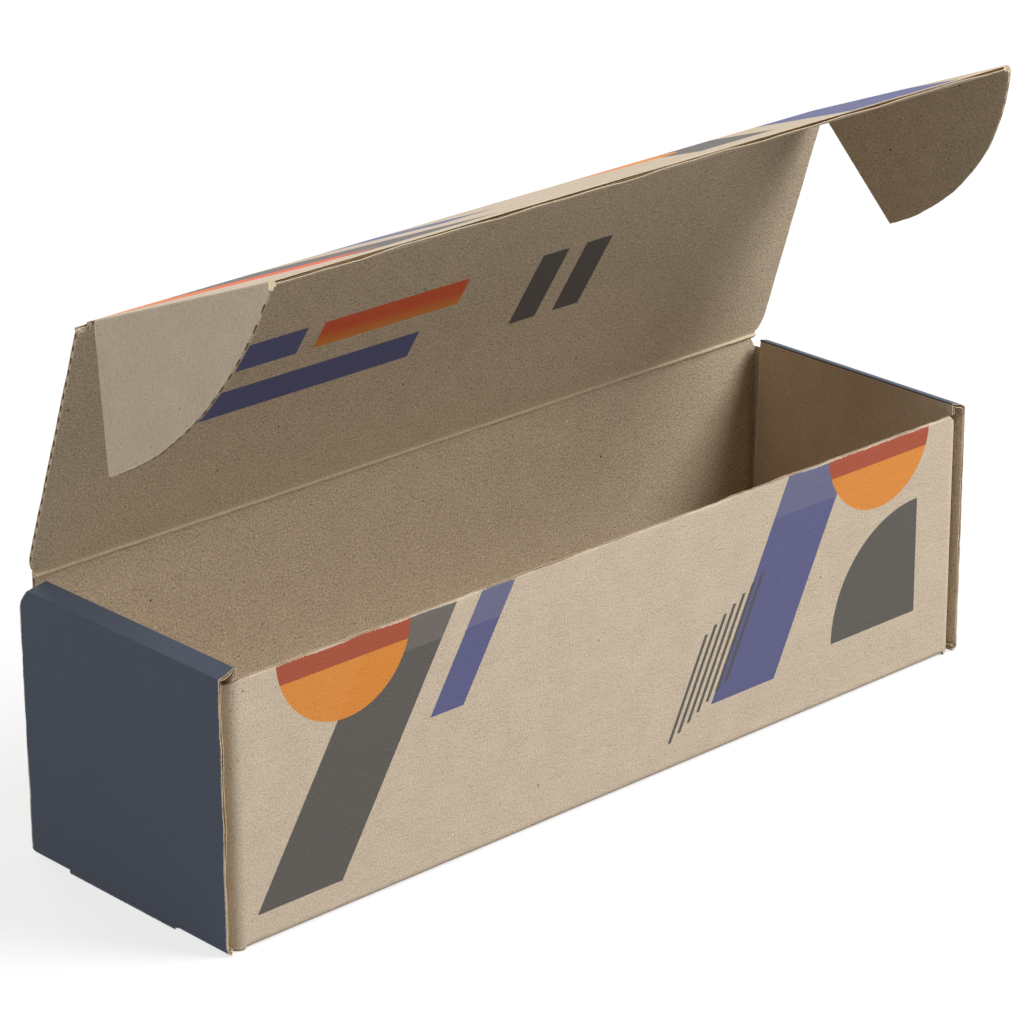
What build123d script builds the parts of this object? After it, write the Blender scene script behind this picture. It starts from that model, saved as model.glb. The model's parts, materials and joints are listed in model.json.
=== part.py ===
"""Bottle gift box: a roll-end tray and a tuck-front lid, folded from one sheet of fluted board.

Millimetres, +Z up, +X along the box and +Y towards the hinge. The origin is the middle of the
tray's underside. The lid stands open, its tuck flap and the flap's two ears part folded.
"""

import os
from math import cos, radians, sin

from build123d import *

os.makedirs("parts", exist_ok=True)

# Sheet and fits
BOARD = 1.8  # thickness of the fluted board
PLY_GAP = 0.15  # slack between plies that lie together
ROLL_SLACK = 1.2  # slack between the corner flaps and the outer ply of the roll-over ends
TUCK_GAP = 0.3  # slack over the tray and behind the front wall when the lid is shut
EAR_GAP = 0.4  # slack of the squared ears between the end walls
CREASE_GAP = 0.5  # opening between two panels at a moving crease
CREASE_LAND = 0.3  # middle of the board left uncrushed at a moving crease
FOLD_INSIDE = 0.6  # inside radius of the tray's bottom folds
BEND_INSIDE = 1.7  # inside radius of the bends into the corner flaps
BROW_RADIUS = 1.0  # outside of the roll-over's outer crease, crushed sharp
CREST_RADIUS = 0.5  # outside of the roll-over's inner crease

# Tray
LENGTH = 331.6
WIDTH = 97.0
FRONT_HEIGHT = 89.4
BROW_HEIGHT = 91.6  # outer crease of the roll-over ends
CREST_HEIGHT = 93.9  # inner crease of the roll-over ends
CORNER_FLAP_REACH = 42.0
CORNER_DROP = 3.4  # from the front wall's top down to its corner flaps
CORNER_SLOPE = 3.6  # length of that step along the front wall
CORNER_INSET = 1.2  # from the foot of that step to the corner flap's outer face
REAR_FLAP_TOP = 89.1  # top of the rear wall's corner flaps
REAR_SHOULDER = 87.0  # where the upper rear corner of the roll-over ends slopes away
REAR_ROUND = 8.0  # rounding of that shoulder
TOE_ROUND = 3.0  # lower rear corner of the end walls
INNER_REAR_TOP = 6.0  # rear edge of the inner ply, from the rear face, at the crest
INNER_REAR_FOOT = 2.6  # the same at the foot
TAB_WIDTH = 52.0
TAB_OFFSET = 3.0  # middle of the locking tab, towards the hinge

# Lid, tuck flap and ears
LID_WIDTH = 326.4  # beside the hinge
LID_FRONT_WIDTH = 323.6  # at the front crease
LID_CORNER_RISE = 3.8  # height of the cut-back corners beside the hinge
LID_CORNER_ROUND = 12.0
FLAP_DEPTH = 92.0  # from the lid's front crease to the free edge
EAR_REACH = 46.1
EAR_ROOT = 4.6  # ear's rear edge from the lid's front crease, at the fold
EAR_TIP = 8.2  # the same at the tip
EAR_TOE = 1.6  # ear's reach at the flap's free edge
EAR_CURVE = 108.0  # radius of the ear's curved edge

# Pose
LID_OPEN = 71.3  # degrees up from shut
FLAP_FOLD = 49.8  # degrees in from flat with the lid
LEFT_EAR_FOLD = 75.0  # degrees in from flat with the flap
RIGHT_EAR_FOLD = 71.0

# Derived sizes
FOLD_RADIUS = BOARD + FOLD_INSIDE
BEND_RADIUS = BOARD + BEND_INSIDE
ROLL = 3 * BOARD + ROLL_SLACK + PLY_GAP  # outer ply, corner flap and inner ply
ROLL_FACE = LENGTH / 2 - ROLL
CORNER_FACE = LENGTH / 2 - BOARD - ROLL_SLACK
WALL_FLAT = CORNER_FACE - BEND_RADIUS
HINGE_HALF = CORNER_FACE - FOLD_RADIUS
CORNER_TOP = FRONT_HEIGHT - CORNER_DROP
STEP_FOOT = CORNER_FACE - CORNER_INSET
TAB_HALF = TAB_WIDTH / 2
BEVEL = (BOARD - CREASE_LAND) / 2
HINGE_Y = WIDTH / 2 - BOARD / 2
HINGE_Z = CREST_HEIGHT + TUCK_GAP + BOARD / 2
LID_LENGTH = WIDTH - 2 * BOARD - TUCK_GAP
EAR_FOLD_X = ROLL_FACE - EAR_GAP - BOARD / 2
REACH = 2 * LENGTH


def along(tilt):
    """Direction of a panel that rises at tilt degrees from the front, away from its crease."""
    return Vector(0, -cos(radians(tilt)), sin(radians(tilt)))


def inward(tilt):
    """Direction from such a panel to the inside of the box."""
    return Vector(0, -sin(radians(tilt)), -cos(radians(tilt)))


# Base with the lower folds of the front and rear walls
with BuildPart() as floor:
    with BuildSketch(Plane.YZ):
        with BuildLine():
            FilletPolyline(
                (-WIDTH / 2, FOLD_RADIUS + BOARD),
                (-WIDTH / 2, 0),
                (WIDTH / 2, 0),
                (WIDTH / 2, FOLD_RADIUS + BOARD),
                radius=FOLD_RADIUS,
            )
            offset(amount=BOARD, side=Side.LEFT)
        make_face()
    extrude(amount=WALL_FLAT, both=True)

# Front wall, bent into its two corner flaps
with BuildPart() as front:
    with BuildSketch(Plane.XY.offset(FOLD_RADIUS)):
        with BuildLine():
            FilletPolyline(
                (CORNER_FACE, CORNER_FLAP_REACH - WIDTH / 2),
                (CORNER_FACE, -WIDTH / 2),
                (-CORNER_FACE, -WIDTH / 2),
                (-CORNER_FACE, CORNER_FLAP_REACH - WIDTH / 2),
                radius=BEND_RADIUS,
            )
            offset(amount=BOARD, side=Side.RIGHT)
        make_face()
    extrude(amount=FRONT_HEIGHT - FOLD_RADIUS)
    with BuildSketch(Plane.XZ):
        with BuildLine():
            Polyline(
                (-CORNER_FACE, 0),
                (CORNER_FACE, 0),
                (CORNER_FACE, CORNER_TOP),
                (STEP_FOOT, CORNER_TOP),
                (STEP_FOOT - CORNER_SLOPE, FRONT_HEIGHT),
                (CORNER_SLOPE - STEP_FOOT, FRONT_HEIGHT),
                (-STEP_FOOT, CORNER_TOP),
                (-CORNER_FACE, CORNER_TOP),
                close=True,
            )
        make_face()
    extrude(amount=WIDTH, both=True, mode=Mode.INTERSECT)

# Rear wall, bent into its two corner flaps and creased for the lid along its top
with BuildPart() as rear:
    with BuildSketch(Plane.XY.offset(FOLD_RADIUS)):
        with BuildLine():
            FilletPolyline(
                (-CORNER_FACE, WIDTH / 2 - CORNER_FLAP_REACH),
                (-CORNER_FACE, WIDTH / 2),
                (CORNER_FACE, WIDTH / 2),
                (CORNER_FACE, WIDTH / 2 - CORNER_FLAP_REACH),
                radius=FOLD_RADIUS,
            )
            offset(amount=BOARD, side=Side.RIGHT)
        make_face()
    extrude(amount=HINGE_Z - CREASE_GAP / 2 - FOLD_RADIUS)
    with BuildSketch(Plane.XZ):
        with BuildLine():
            Polyline(
                (-CORNER_FACE, 0),
                (CORNER_FACE, 0),
                (CORNER_FACE, REAR_FLAP_TOP),
                (HINGE_HALF, REAR_FLAP_TOP + BOARD / 2),
                (HINGE_HALF, HINGE_Z),
                (-HINGE_HALF, HINGE_Z),
                (-HINGE_HALF, REAR_FLAP_TOP + BOARD / 2),
                (-CORNER_FACE, REAR_FLAP_TOP),
                close=True,
            )
        make_face()
    extrude(amount=WIDTH, both=True, mode=Mode.INTERSECT)
    chamfer(rear.faces().sort_by(Axis.Z)[-1].edges().filter_by(Axis.X), length=BEVEL)

# Right end: outer ply and sloped roll-over strip, cut away at the rear, then the inner ply
with BuildPart() as right_end:
    with BuildSketch(Plane.XZ):
        with BuildLine():
            FilletPolyline(
                (WALL_FLAT - BOARD, 0),
                (LENGTH / 2, 0),
                (LENGTH / 2, BROW_HEIGHT),
                (ROLL_FACE, CREST_HEIGHT),
                (ROLL_FACE, FRONT_HEIGHT + PLY_GAP),
                radius=(FOLD_RADIUS, BROW_RADIUS, CREST_RADIUS),
            )
            offset(amount=BOARD, side=Side.LEFT)
        make_face()
    extrude(amount=WIDTH / 2, both=True)
    with BuildSketch(Plane.YZ):
        with BuildLine():
            FilletPolyline(
                (-WIDTH / 2, 0),
                (WIDTH / 2, 0),
                (WIDTH / 2, REAR_SHOULDER),
                (WIDTH / 2 - INNER_REAR_TOP, CREST_HEIGHT),
                (-WIDTH / 2, CREST_HEIGHT),
                radius=(0, TOE_ROUND, REAR_ROUND, 0, 0),
                close=True,
            )
        make_face()
    extrude(amount=REACH, both=True, mode=Mode.INTERSECT)
    with BuildSketch(Plane.XY.offset(FRONT_HEIGHT)):
        with Locations((ROLL_FACE, WIDTH / 2 - INNER_REAR_TOP)):
            Rectangle(BOARD, INNER_REAR_TOP, align=(Align.MIN, Align.MIN))
    extrude(amount=CREST_HEIGHT, mode=Mode.SUBTRACT)
    with BuildSketch(Plane.XY):
        with Locations((LENGTH / 2 - BOARD, TAB_OFFSET)):
            Rectangle(ROLL - BOARD + PLY_GAP, TAB_WIDTH + 2 * PLY_GAP, align=(Align.MAX, Align.CENTER))
    extrude(amount=BOARD, mode=Mode.SUBTRACT)
    with BuildSketch(Plane.XY):
        with Locations((LENGTH / 2, TAB_OFFSET)):
            Rectangle(BOARD, TAB_WIDTH + 2 * PLY_GAP, align=(Align.MAX, Align.CENTER))
    extrude(amount=FOLD_RADIUS)
    with BuildSketch(Plane.YZ.offset(ROLL_FACE)):
        with BuildLine():
            Polyline(
                (BOARD + PLY_GAP - WIDTH / 2, BOARD + PLY_GAP),
                (TAB_OFFSET - TAB_HALF, BOARD + PLY_GAP),
                (TAB_OFFSET - TAB_HALF, 0),
                (TAB_OFFSET + TAB_HALF, 0),
                (TAB_OFFSET + TAB_HALF, BOARD + PLY_GAP),
                (WIDTH / 2 - INNER_REAR_FOOT, BOARD + PLY_GAP),
                (WIDTH / 2 - INNER_REAR_TOP, FRONT_HEIGHT + BOARD),
                (BOARD + PLY_GAP - WIDTH / 2, FRONT_HEIGHT + BOARD),
                close=True,
            )
        make_face()
    extrude(amount=BOARD)

left_end = mirror(right_end.part, about=Plane.YZ)

with BuildPart() as tray:
    add(floor.part)
    add(front.part)
    add(rear.part)
    add(right_end.part)
    add(left_end)

# Lid panel, creased at the hinge and at its front edge
hinge = Vector(0, HINGE_Y, HINGE_Z)
lid_plane = Plane(hinge, x_dir=(1, 0, 0), z_dir=inward(LID_OPEN))

with BuildPart() as lid:
    with BuildSketch(lid_plane) as lid_outline:
        with BuildLine():
            Polyline(
                (-HINGE_HALF, CREASE_GAP / 2),
                (HINGE_HALF, CREASE_GAP / 2),
                (LID_WIDTH / 2, LID_CORNER_RISE),
                (LID_FRONT_WIDTH / 2, LID_LENGTH - CREASE_GAP / 2),
                (-LID_FRONT_WIDTH / 2, LID_LENGTH - CREASE_GAP / 2),
                (-LID_WIDTH / 2, LID_CORNER_RISE),
                close=True,
            )
        make_face()
        fillet(lid_outline.vertices().sort_by(Axis.Y)[2:4], radius=LID_CORNER_ROUND)
    extrude(amount=BOARD / 2, both=True)
    ends = lid.edges().filter_by(Axis.X).sort_by(Axis(hinge, along(LID_OPEN)))
    chamfer([*ends[:2], ends[2:].sort_by(Axis(hinge, inward(LID_OPEN)))[-1]], length=BEVEL)

# Tuck flap, creased against the lid and against both ears
FLAP_TILT = LID_OPEN - FLAP_FOLD
crease = hinge + along(LID_OPEN) * LID_LENGTH
flap_plane = Plane(crease, x_dir=(1, 0, 0), z_dir=inward(FLAP_TILT))

with BuildPart() as tuck_flap:
    with BuildSketch(flap_plane):
        with Locations((0, CREASE_GAP / 2)):
            Rectangle(2 * EAR_FOLD_X - CREASE_GAP, FLAP_DEPTH - CREASE_GAP / 2, align=(Align.CENTER, Align.MIN))
    extrude(amount=BOARD / 2, both=True)
    inner_face = tuck_flap.faces().sort_by(Axis(crease, inward(FLAP_TILT)))[-1]
    chamfer(inner_face.edges().sort_by(Axis(crease, along(FLAP_TILT)))[:3], length=BEVEL)

# Ears, drawn with their fold along x and their reach along y
right_fold = radians(RIGHT_EAR_FOLD)
right_plane = Plane(
    crease + Vector(EAR_FOLD_X, 0, 0),
    x_dir=along(FLAP_TILT),
    z_dir=Vector(sin(right_fold), 0, 0) - inward(FLAP_TILT) * cos(right_fold),
)
left_fold = radians(LEFT_EAR_FOLD)
left_plane = Plane(
    crease - Vector(EAR_FOLD_X, 0, 0),
    x_dir=along(FLAP_TILT),
    z_dir=Vector(sin(left_fold), 0, 0) + inward(FLAP_TILT) * cos(left_fold),
)

with BuildSketch() as ear:
    with BuildLine():
        Polyline(
            (FLAP_DEPTH, EAR_TOE),
            (FLAP_DEPTH, CREASE_GAP / 2),
            (EAR_ROOT, CREASE_GAP / 2),
            (EAR_TIP, EAR_REACH),
        )
        RadiusArc((EAR_TIP, EAR_REACH), (FLAP_DEPTH, EAR_TOE), EAR_CURVE)
    make_face()

with BuildPart() as right_ear:
    with BuildSketch(right_plane):
        add(ear.sketch)
    extrude(amount=BOARD / 2, both=True)
    inner_face = right_ear.faces().sort_by(Axis(right_plane.origin, right_plane.z_dir))[0]
    chamfer(inner_face.edges().sort_by(Axis(right_plane.origin, right_plane.y_dir))[0], length=BEVEL)

with BuildPart() as left_ear:
    with BuildSketch(left_plane):
        add(ear.sketch)
    extrude(amount=BOARD / 2, both=True)
    inner_face = left_ear.faces().sort_by(Axis(left_plane.origin, left_plane.z_dir))[-1]
    chamfer(inner_face.edges().sort_by(Axis(left_plane.origin, left_plane.y_dir))[0], length=BEVEL)

tray.part.label = "tray"
lid.part.label = "lid"
tuck_flap.part.label = "tuck_flap"
right_ear.part.label = "right_ear"
left_ear.part.label = "left_ear"

export_step(tray.part, "parts/tray.step")
export_step(lid.part, "parts/lid.step")
export_step(tuck_flap.part, "parts/tuck_flap.step")
export_step(right_ear.part, "parts/right_ear.step")
export_step(left_ear.part, "parts/left_ear.step")
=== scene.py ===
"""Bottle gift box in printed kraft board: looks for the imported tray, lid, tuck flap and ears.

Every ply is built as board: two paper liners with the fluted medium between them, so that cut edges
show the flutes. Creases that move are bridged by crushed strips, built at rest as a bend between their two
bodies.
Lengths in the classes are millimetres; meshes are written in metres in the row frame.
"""

import json  # noqa: E402
import logging  # noqa: E402
import math  # noqa: E402
from collections.abc import Callable, Sequence  # noqa: E402
from dataclasses import dataclass, field, replace  # noqa: E402
from enum import Enum  # noqa: E402

import bpy  # noqa: E402
import numpy as np  # noqa: E402
from mathutils import Matrix, Vector  # noqa: E402

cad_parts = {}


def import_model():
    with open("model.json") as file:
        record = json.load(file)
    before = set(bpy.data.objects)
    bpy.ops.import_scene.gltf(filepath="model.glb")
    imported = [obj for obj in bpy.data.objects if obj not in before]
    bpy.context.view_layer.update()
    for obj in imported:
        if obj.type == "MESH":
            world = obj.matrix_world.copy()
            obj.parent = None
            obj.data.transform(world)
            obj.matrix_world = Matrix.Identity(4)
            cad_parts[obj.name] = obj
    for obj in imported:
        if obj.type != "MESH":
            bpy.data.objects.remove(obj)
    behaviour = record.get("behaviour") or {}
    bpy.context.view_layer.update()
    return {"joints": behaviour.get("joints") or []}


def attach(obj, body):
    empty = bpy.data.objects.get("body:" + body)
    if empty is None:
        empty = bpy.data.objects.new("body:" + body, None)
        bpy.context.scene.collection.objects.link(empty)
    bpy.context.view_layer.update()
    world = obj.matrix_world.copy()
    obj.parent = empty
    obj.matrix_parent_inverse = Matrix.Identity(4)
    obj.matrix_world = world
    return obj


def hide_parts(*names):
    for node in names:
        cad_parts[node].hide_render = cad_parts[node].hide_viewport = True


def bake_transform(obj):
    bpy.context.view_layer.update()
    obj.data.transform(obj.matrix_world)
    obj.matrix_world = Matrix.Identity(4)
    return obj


LOG = logging.getLogger("gift_box")
MM = 0.001
BLANK_MAP = "Blank"
EDGE_MAP = "Edge"

Array = np.ndarray
Pair = tuple[float, float]
Waves = tuple[tuple[float, float, float], ...]
Colour = tuple[float, float, float, float]
Limit = Callable[["Station"], float]
SheetMap = Callable[[Array, Array], Array]
Tree = bpy.types.NodeTree
Node = bpy.types.Node
Socket = bpy.types.NodeSocket
Material = bpy.types.Material
Object = bpy.types.Object

X, Y, Z = np.eye(3)
ORIGIN = np.zeros(3)
SIDES = (-1.0, 1.0)


class Side(Enum):
    """Material slots of a board mesh, in the order that every piece carries them."""

    OUTSIDE = 0
    INSIDE = 1
    CUT = 2
    FLUTE = 3


class Edge(Enum):
    """Edges of a ply that a die has cut, which are pressed thinner there."""

    LOW = "low"
    HIGH = "high"
    START = "start"
    END = "end"


class Run(Enum):
    """Which way the flutes run in a ply, seen from its fold path."""

    ACROSS = "across"
    ALONG = "along"


class Shape(Enum):
    """Forms that a field of ink can take on the flat sheet."""

    BAR = "bar"
    DISC = "disc"


def unit(vector: Sequence[float]) -> Array:
    """Vector of length one."""
    v = np.array(vector, float)
    return v / np.linalg.norm(v)


def clamp(value: float, low: float = 0.0, high: float = 1.0) -> float:
    """Value kept between two limits."""
    return max(low, min(high, value))


def angle(a: Array, b: Array) -> float:
    """Angle between two unit vectors, in radians."""
    return math.acos(clamp(float(a @ b), -1.0))


def ripple(along: Array, waves: Waves) -> Array:
    """Sum of slow waves, each given by its size, length and phase."""
    return sum(size * np.sin(along / length + phase) for size, length, phase in waves)


def sheet_map(u: SheetMap, v: SheetMap) -> SheetMap:
    """Joins two coordinate functions of run and across into one place on the flat sheet."""
    return lambda run, across: np.stack([u(run, across), v(run, across)], -1)


def linear(red: int, green: int, blue: int) -> Colour:
    """Scene-linear colour, with an alpha of one, of a display colour given from 0 to 255."""
    shares = (c / 255.0 for c in (red, green, blue))
    return *(c / 12.92 if c <= 0.04045 else ((c + 0.055) / 1.055) ** 2.4 for c in shares), 1.0


@dataclass(frozen=True)
class Board:
    """Fine fluted board: its papers, its flutes, and how a die pinches it at a cut edge."""

    thickness: float = 1.8
    liner: float = 0.24
    medium: float = 0.17
    pitch: float = 4.4
    path_steps: int = 6
    pinch_out: float = 0.08
    pinch_in: float = 1.0
    pinch_reach: float = 1.25
    wear_reach: float = 0.65
    skew: float = 0.006
    wander: Waves = ((0.45, 31.0, 0.0), (0.25, 11.3, 1.1))
    press: float = 0.66
    press_least: float = 0.2
    press_waves: Waves = ((0.16, 9.1, 0.0), (0.16, 4.3, 2.0), (0.16, 17.0, 0.7))
    press_over_flutes: float = 0.5
    pocket_shut: float = 0.12
    pocket_open: float = 2.6
    pocket_gain: float = 1.6
    pocket_wall: float = 0.3

    @property
    def path_step(self) -> float:
        """Step along a path that crosses the flutes."""
        return self.pitch / self.path_steps

    def phase(self, across: Array, along: Array) -> Array:
        """Angle through the flutes at a distance across and along them, as they wander sideways."""
        return 2 * math.pi * (across + self.skew * along + ripple(along, self.wander)) / self.pitch

    def wave(self, across: Array, along: Array) -> Array:
        """Depth of the medium's middle below the outer face."""
        room = self.thickness / 2 - self.liner - self.medium / 2
        return self.thickness / 2 + room * np.sin(self.phase(across, along))

    def closed(self, across: Array, along: Array, over_flutes: bool) -> Array:
        """Share of the full pinch at a cut edge.

        Args:
            across: Distance across the flutes.
            along: Distance along the flutes.
            over_flutes: Whether the edge cuts across the flutes and leaves their ends open.

        Returns:
            A share from 0 to 1 for each point.
        """
        if over_flutes:
            return np.full(np.shape(across), self.press_over_flutes)
        return np.clip(self.press + ripple(along, self.press_waves), self.press_least, 1.0)

    def pocket(self, across: Array, along: Array) -> Array:
        """How far the flutes stand open behind a cut edge that crosses them."""
        share = np.clip(self.pocket_gain * np.cos(self.phase(across, along)) - self.pocket_wall, 0.0, 1.0)
        return self.pocket_shut + self.pocket_open * share

    def flipped(self) -> "Board":
        """The board where the die has pinched its other face."""
        return replace(self, pinch_out=self.pinch_in, pinch_in=self.pinch_out)


@dataclass(frozen=True)
class Wobble:
    """Slow unevenness of a die-cut edge or a crushed bead."""

    size: float
    seed: int
    waves: tuple[float, ...] = (23.0, 11.7, 6.1, 3.3)
    fall: float = 1.2

    def __call__(self, run: float) -> float:
        """Offset at a distance along the edge.

        Args:
            run: Distance along the edge.

        Returns:
            The offset.
        """
        turns = np.random.default_rng(self.seed).uniform(0, 2 * math.pi, len(self.waves))
        pairs = enumerate(zip(self.waves, turns))
        return self.size * sum(math.sin(2 * math.pi * run / w + p) / (i + self.fall) for i, (w, p) in pairs)


@dataclass(frozen=True)
class Station:
    """A place on a fold path: run along the outer face, leg, point and inward direction."""

    run: float
    leg: float
    at: Array
    inward: Array


@dataclass(frozen=True)
class FoldPath:
    """Outer face of a ply in its fold plane: corners and outside radii, inside on the left."""

    corners: tuple[Pair, ...]
    radii: tuple[float, ...] = ()
    step: float = 3.0
    near: tuple[float, ...] = (0.25, 0.6, 1.2, 2.4)
    arc_steps: int = 8
    closest: float = 1e-4
    slack: float = 1e-9

    def pieces(self) -> list[tuple[float, Array, Array, float]]:
        """Straight legs between their tangent points.

        Returns:
            For each leg its first run, its start, its direction and its length.
        """
        points = [np.array(c, float) for c in self.corners]
        cut = [0.0] + [r * math.tan(self._turn(i) / 2) for i, r in enumerate(self.radii)] + [0.0]
        legs, run = [], 0.0
        for i, (a, b) in enumerate(zip(points, points[1:])):
            way = unit(b - a)
            length = float(np.linalg.norm(b - a)) - cut[i] - cut[i + 1]
            legs.append((run, a + way * cut[i], way, length))
            run = run + length + self._arc(i)
        return legs

    def _turn(self, corner: int) -> float:
        """Angle turned at a corner, in radians."""
        a, b, c = (np.array(p, float) for p in self.corners[corner:corner + 3])
        return angle(unit(b - a), unit(c - b))

    def _arc(self, corner: int) -> float:
        """Length of the arc at a corner, or nothing past the last one."""
        return self.radii[corner] * self._turn(corner) if corner < len(self.radii) else 0.0

    def room(self, run: float) -> float:
        """Depth below the outer face, before the board meets itself at a sharp fold.

        Args:
            run: Distance along the path.

        Returns:
            The depth, or infinity on a flat path.
        """
        deep = math.inf
        for i, (first, _, _, length) in enumerate(self.pieces()[:-1]):
            away = max(0.0, first + length - run, run - first - length - self._arc(i))
            deep = min(deep, self.radii[i] + away / math.tan(self._turn(i) / 2))
        return deep

    def length(self) -> float:
        """Run from end to end along the outer face."""
        run, _, _, length = self.pieces()[-1]
        return run + length

    def stations(self, marks: Sequence[float] = (), step: float | None = None) -> list[Station]:
        """Stations along the whole path.

        Args:
            marks: Runs that must have a station.
            step: Longest gap between stations, or the path's own.

        Returns:
            Stations in order, denser by both ends and round the arcs.
        """
        total, gap = self.length(), step or self.step
        near = [n for n in self.near if n < total]
        wanted = {0.0, total, *near, *(total - n for n in near), *(m for m in marks if 0 < m < total)}
        for i, (run, _, _, length) in enumerate(self.pieces()):
            count = max(1, math.ceil(length / gap))
            wanted |= {run + length * k / count for k in range(count + 1)}
            if i < len(self.radii):
                arc = self._arc(i)
                wanted |= {run + length + arc * k / self.arc_steps for k in range(1, self.arc_steps)}
        runs = sorted(wanted)
        kept = [runs[0]] + [b for a, b in zip(runs, runs[1:]) if b - a > self.closest]
        return [self.at(r) for r in kept]

    def at(self, run: float) -> Station:
        """The station at a run along the path.

        Args:
            run: Distance along the path.

        Returns:
            The station, whose leg ends in a half on an arc.
        """
        for i, (first, start, way, length) in enumerate(self.pieces()):
            left = np.array((-way[1], way[0]))
            if run <= first + length + self.slack:
                return Station(run, float(i), start + way * (run - first), left)
            if run < first + length + self._arc(i):
                radius = self.radii[i]
                turn = (run - first - length) / radius
                c, s = math.cos(turn), math.sin(turn)
                inward = np.array((c * left[0] - s * left[1], s * left[0] + c * left[1]))
                return Station(run, i + 0.5, start + way * length + left * radius - inward * radius, inward)
        raise ValueError("run lies past the end of the path")


@dataclass(frozen=True)
class Place:
    """Where a fold path lies: its origin, the path plane's two axes and the direction across it."""

    origin: Array
    p: Array
    q: Array
    e: Array

    def handed(self) -> bool:
        """True where the three axes are right-handed."""
        return float(np.cross(self.p, self.q) @ self.e) > 0


@dataclass
class BoardMesh:
    """Collects the faces of one piece of board and turns them into an object."""

    name: str
    points: list[Array] = field(default_factory=list)
    blanks: list[Array] = field(default_factory=list)
    wears: list[Array] = field(default_factory=list)
    faces: list[tuple[int, ...]] = field(default_factory=list)
    sides: list[int] = field(default_factory=list)
    count: int = 0
    sharp_degrees: float = 40.0

    def grid(self, points: Array, blank: Array, wear: Array | None = None) -> Array:
        """Adds a grid of points.

        Args:
            points: Rows by columns by three, in millimetres.
            blank: Rows by columns by two, on the flat sheet.
            wear: Rows by columns, how worn the paper is, or none.

        Returns:
            Rows by columns of point numbers.
        """
        rows, cols = points.shape[:2]
        index = np.arange(rows * cols).reshape(rows, cols) + self.count
        self.points.append(points.reshape(-1, 3))
        self.blanks.append(blank.reshape(-1, 2))
        self.wears.append(np.zeros(rows * cols) if wear is None else wear.ravel())
        self.count += rows * cols
        return index

    def face(self, corners: Sequence[int], side: Side) -> None:
        """Adds one face."""
        self.faces.append(tuple(int(i) for i in corners))
        self.sides.append(side.value)

    def skin(self, index: Array, side: Side, flip: bool) -> None:
        """Adds the quads of a grid.

        Args:
            index: Rows by columns of point numbers.
            side: Material slot of the quads.
            flip: Whether they face the other way.
        """
        a, b = index[:-1, :-1].ravel(), index[1:, :-1].ravel()
        c, d = index[1:, 1:].ravel(), index[:-1, 1:].ravel()
        for quad in zip(d, c, b, a) if flip else zip(a, b, c, d):
            self.face(quad, side)

    def rim(self, upper: Array, lower: Array, side: Side, flip: bool) -> None:
        """Closes a slab along its four edges.

        Args:
            upper: Point numbers of its upper grid.
            lower: Point numbers of its lower grid.
            side: Material slot of the edges.
            flip: Whether they face the other way.
        """
        loops = [
            np.concatenate([g[:-1, 0], g[-1, :-1], g[:0:-1, -1], g[0, :0:-1], g[:1, 0]])
            for g in (lower, upper)
        ]
        self.skin(np.stack(loops, 1), side, flip)

    def build(self, finishes: Sequence[Material]) -> Object:
        """Makes the object.

        Args:
            finishes: One material for each Side, in order.

        Returns:
            The linked object, in metres in the row frame.
        """
        mesh = bpy.data.meshes.new(self.name)
        mesh.from_pydata((np.concatenate(self.points) * MM).tolist(), [], self.faces)
        for finish in finishes:
            mesh.materials.append(finish)
        mesh.polygons.foreach_set("material_index", np.array(self.sides, np.int32))
        mesh.polygons.foreach_set("use_smooth", np.ones(len(self.faces), bool))
        corner = np.zeros(len(mesh.loops), np.int32)
        mesh.loops.foreach_get("vertex_index", corner)
        worn = np.concatenate(self.wears)
        maps = {BLANK_MAP: np.concatenate(self.blanks) * MM, EDGE_MAP: np.stack([worn, worn], 1)}
        for name in maps:
            mesh.uv_layers.new(name=name)
        for name, flat in maps.items():
            mesh.uv_layers[name].uv.foreach_set("vector", flat[corner].astype(np.float32).ravel())
        mesh.set_sharp_from_angle(angle=math.radians(self.sharp_degrees))
        mesh.update()
        return link(self.name, mesh)


def link(name: str, data: bpy.types.ID) -> Object:
    """Makes an object of some data and links it to the scene.

    Args:
        name: Name of the object.
        data: Its mesh, lamp or camera.

    Returns:
        The object.
    """
    obj = bpy.data.objects.new(name, data)
    bpy.context.scene.collection.objects.link(obj)
    return obj


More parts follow.
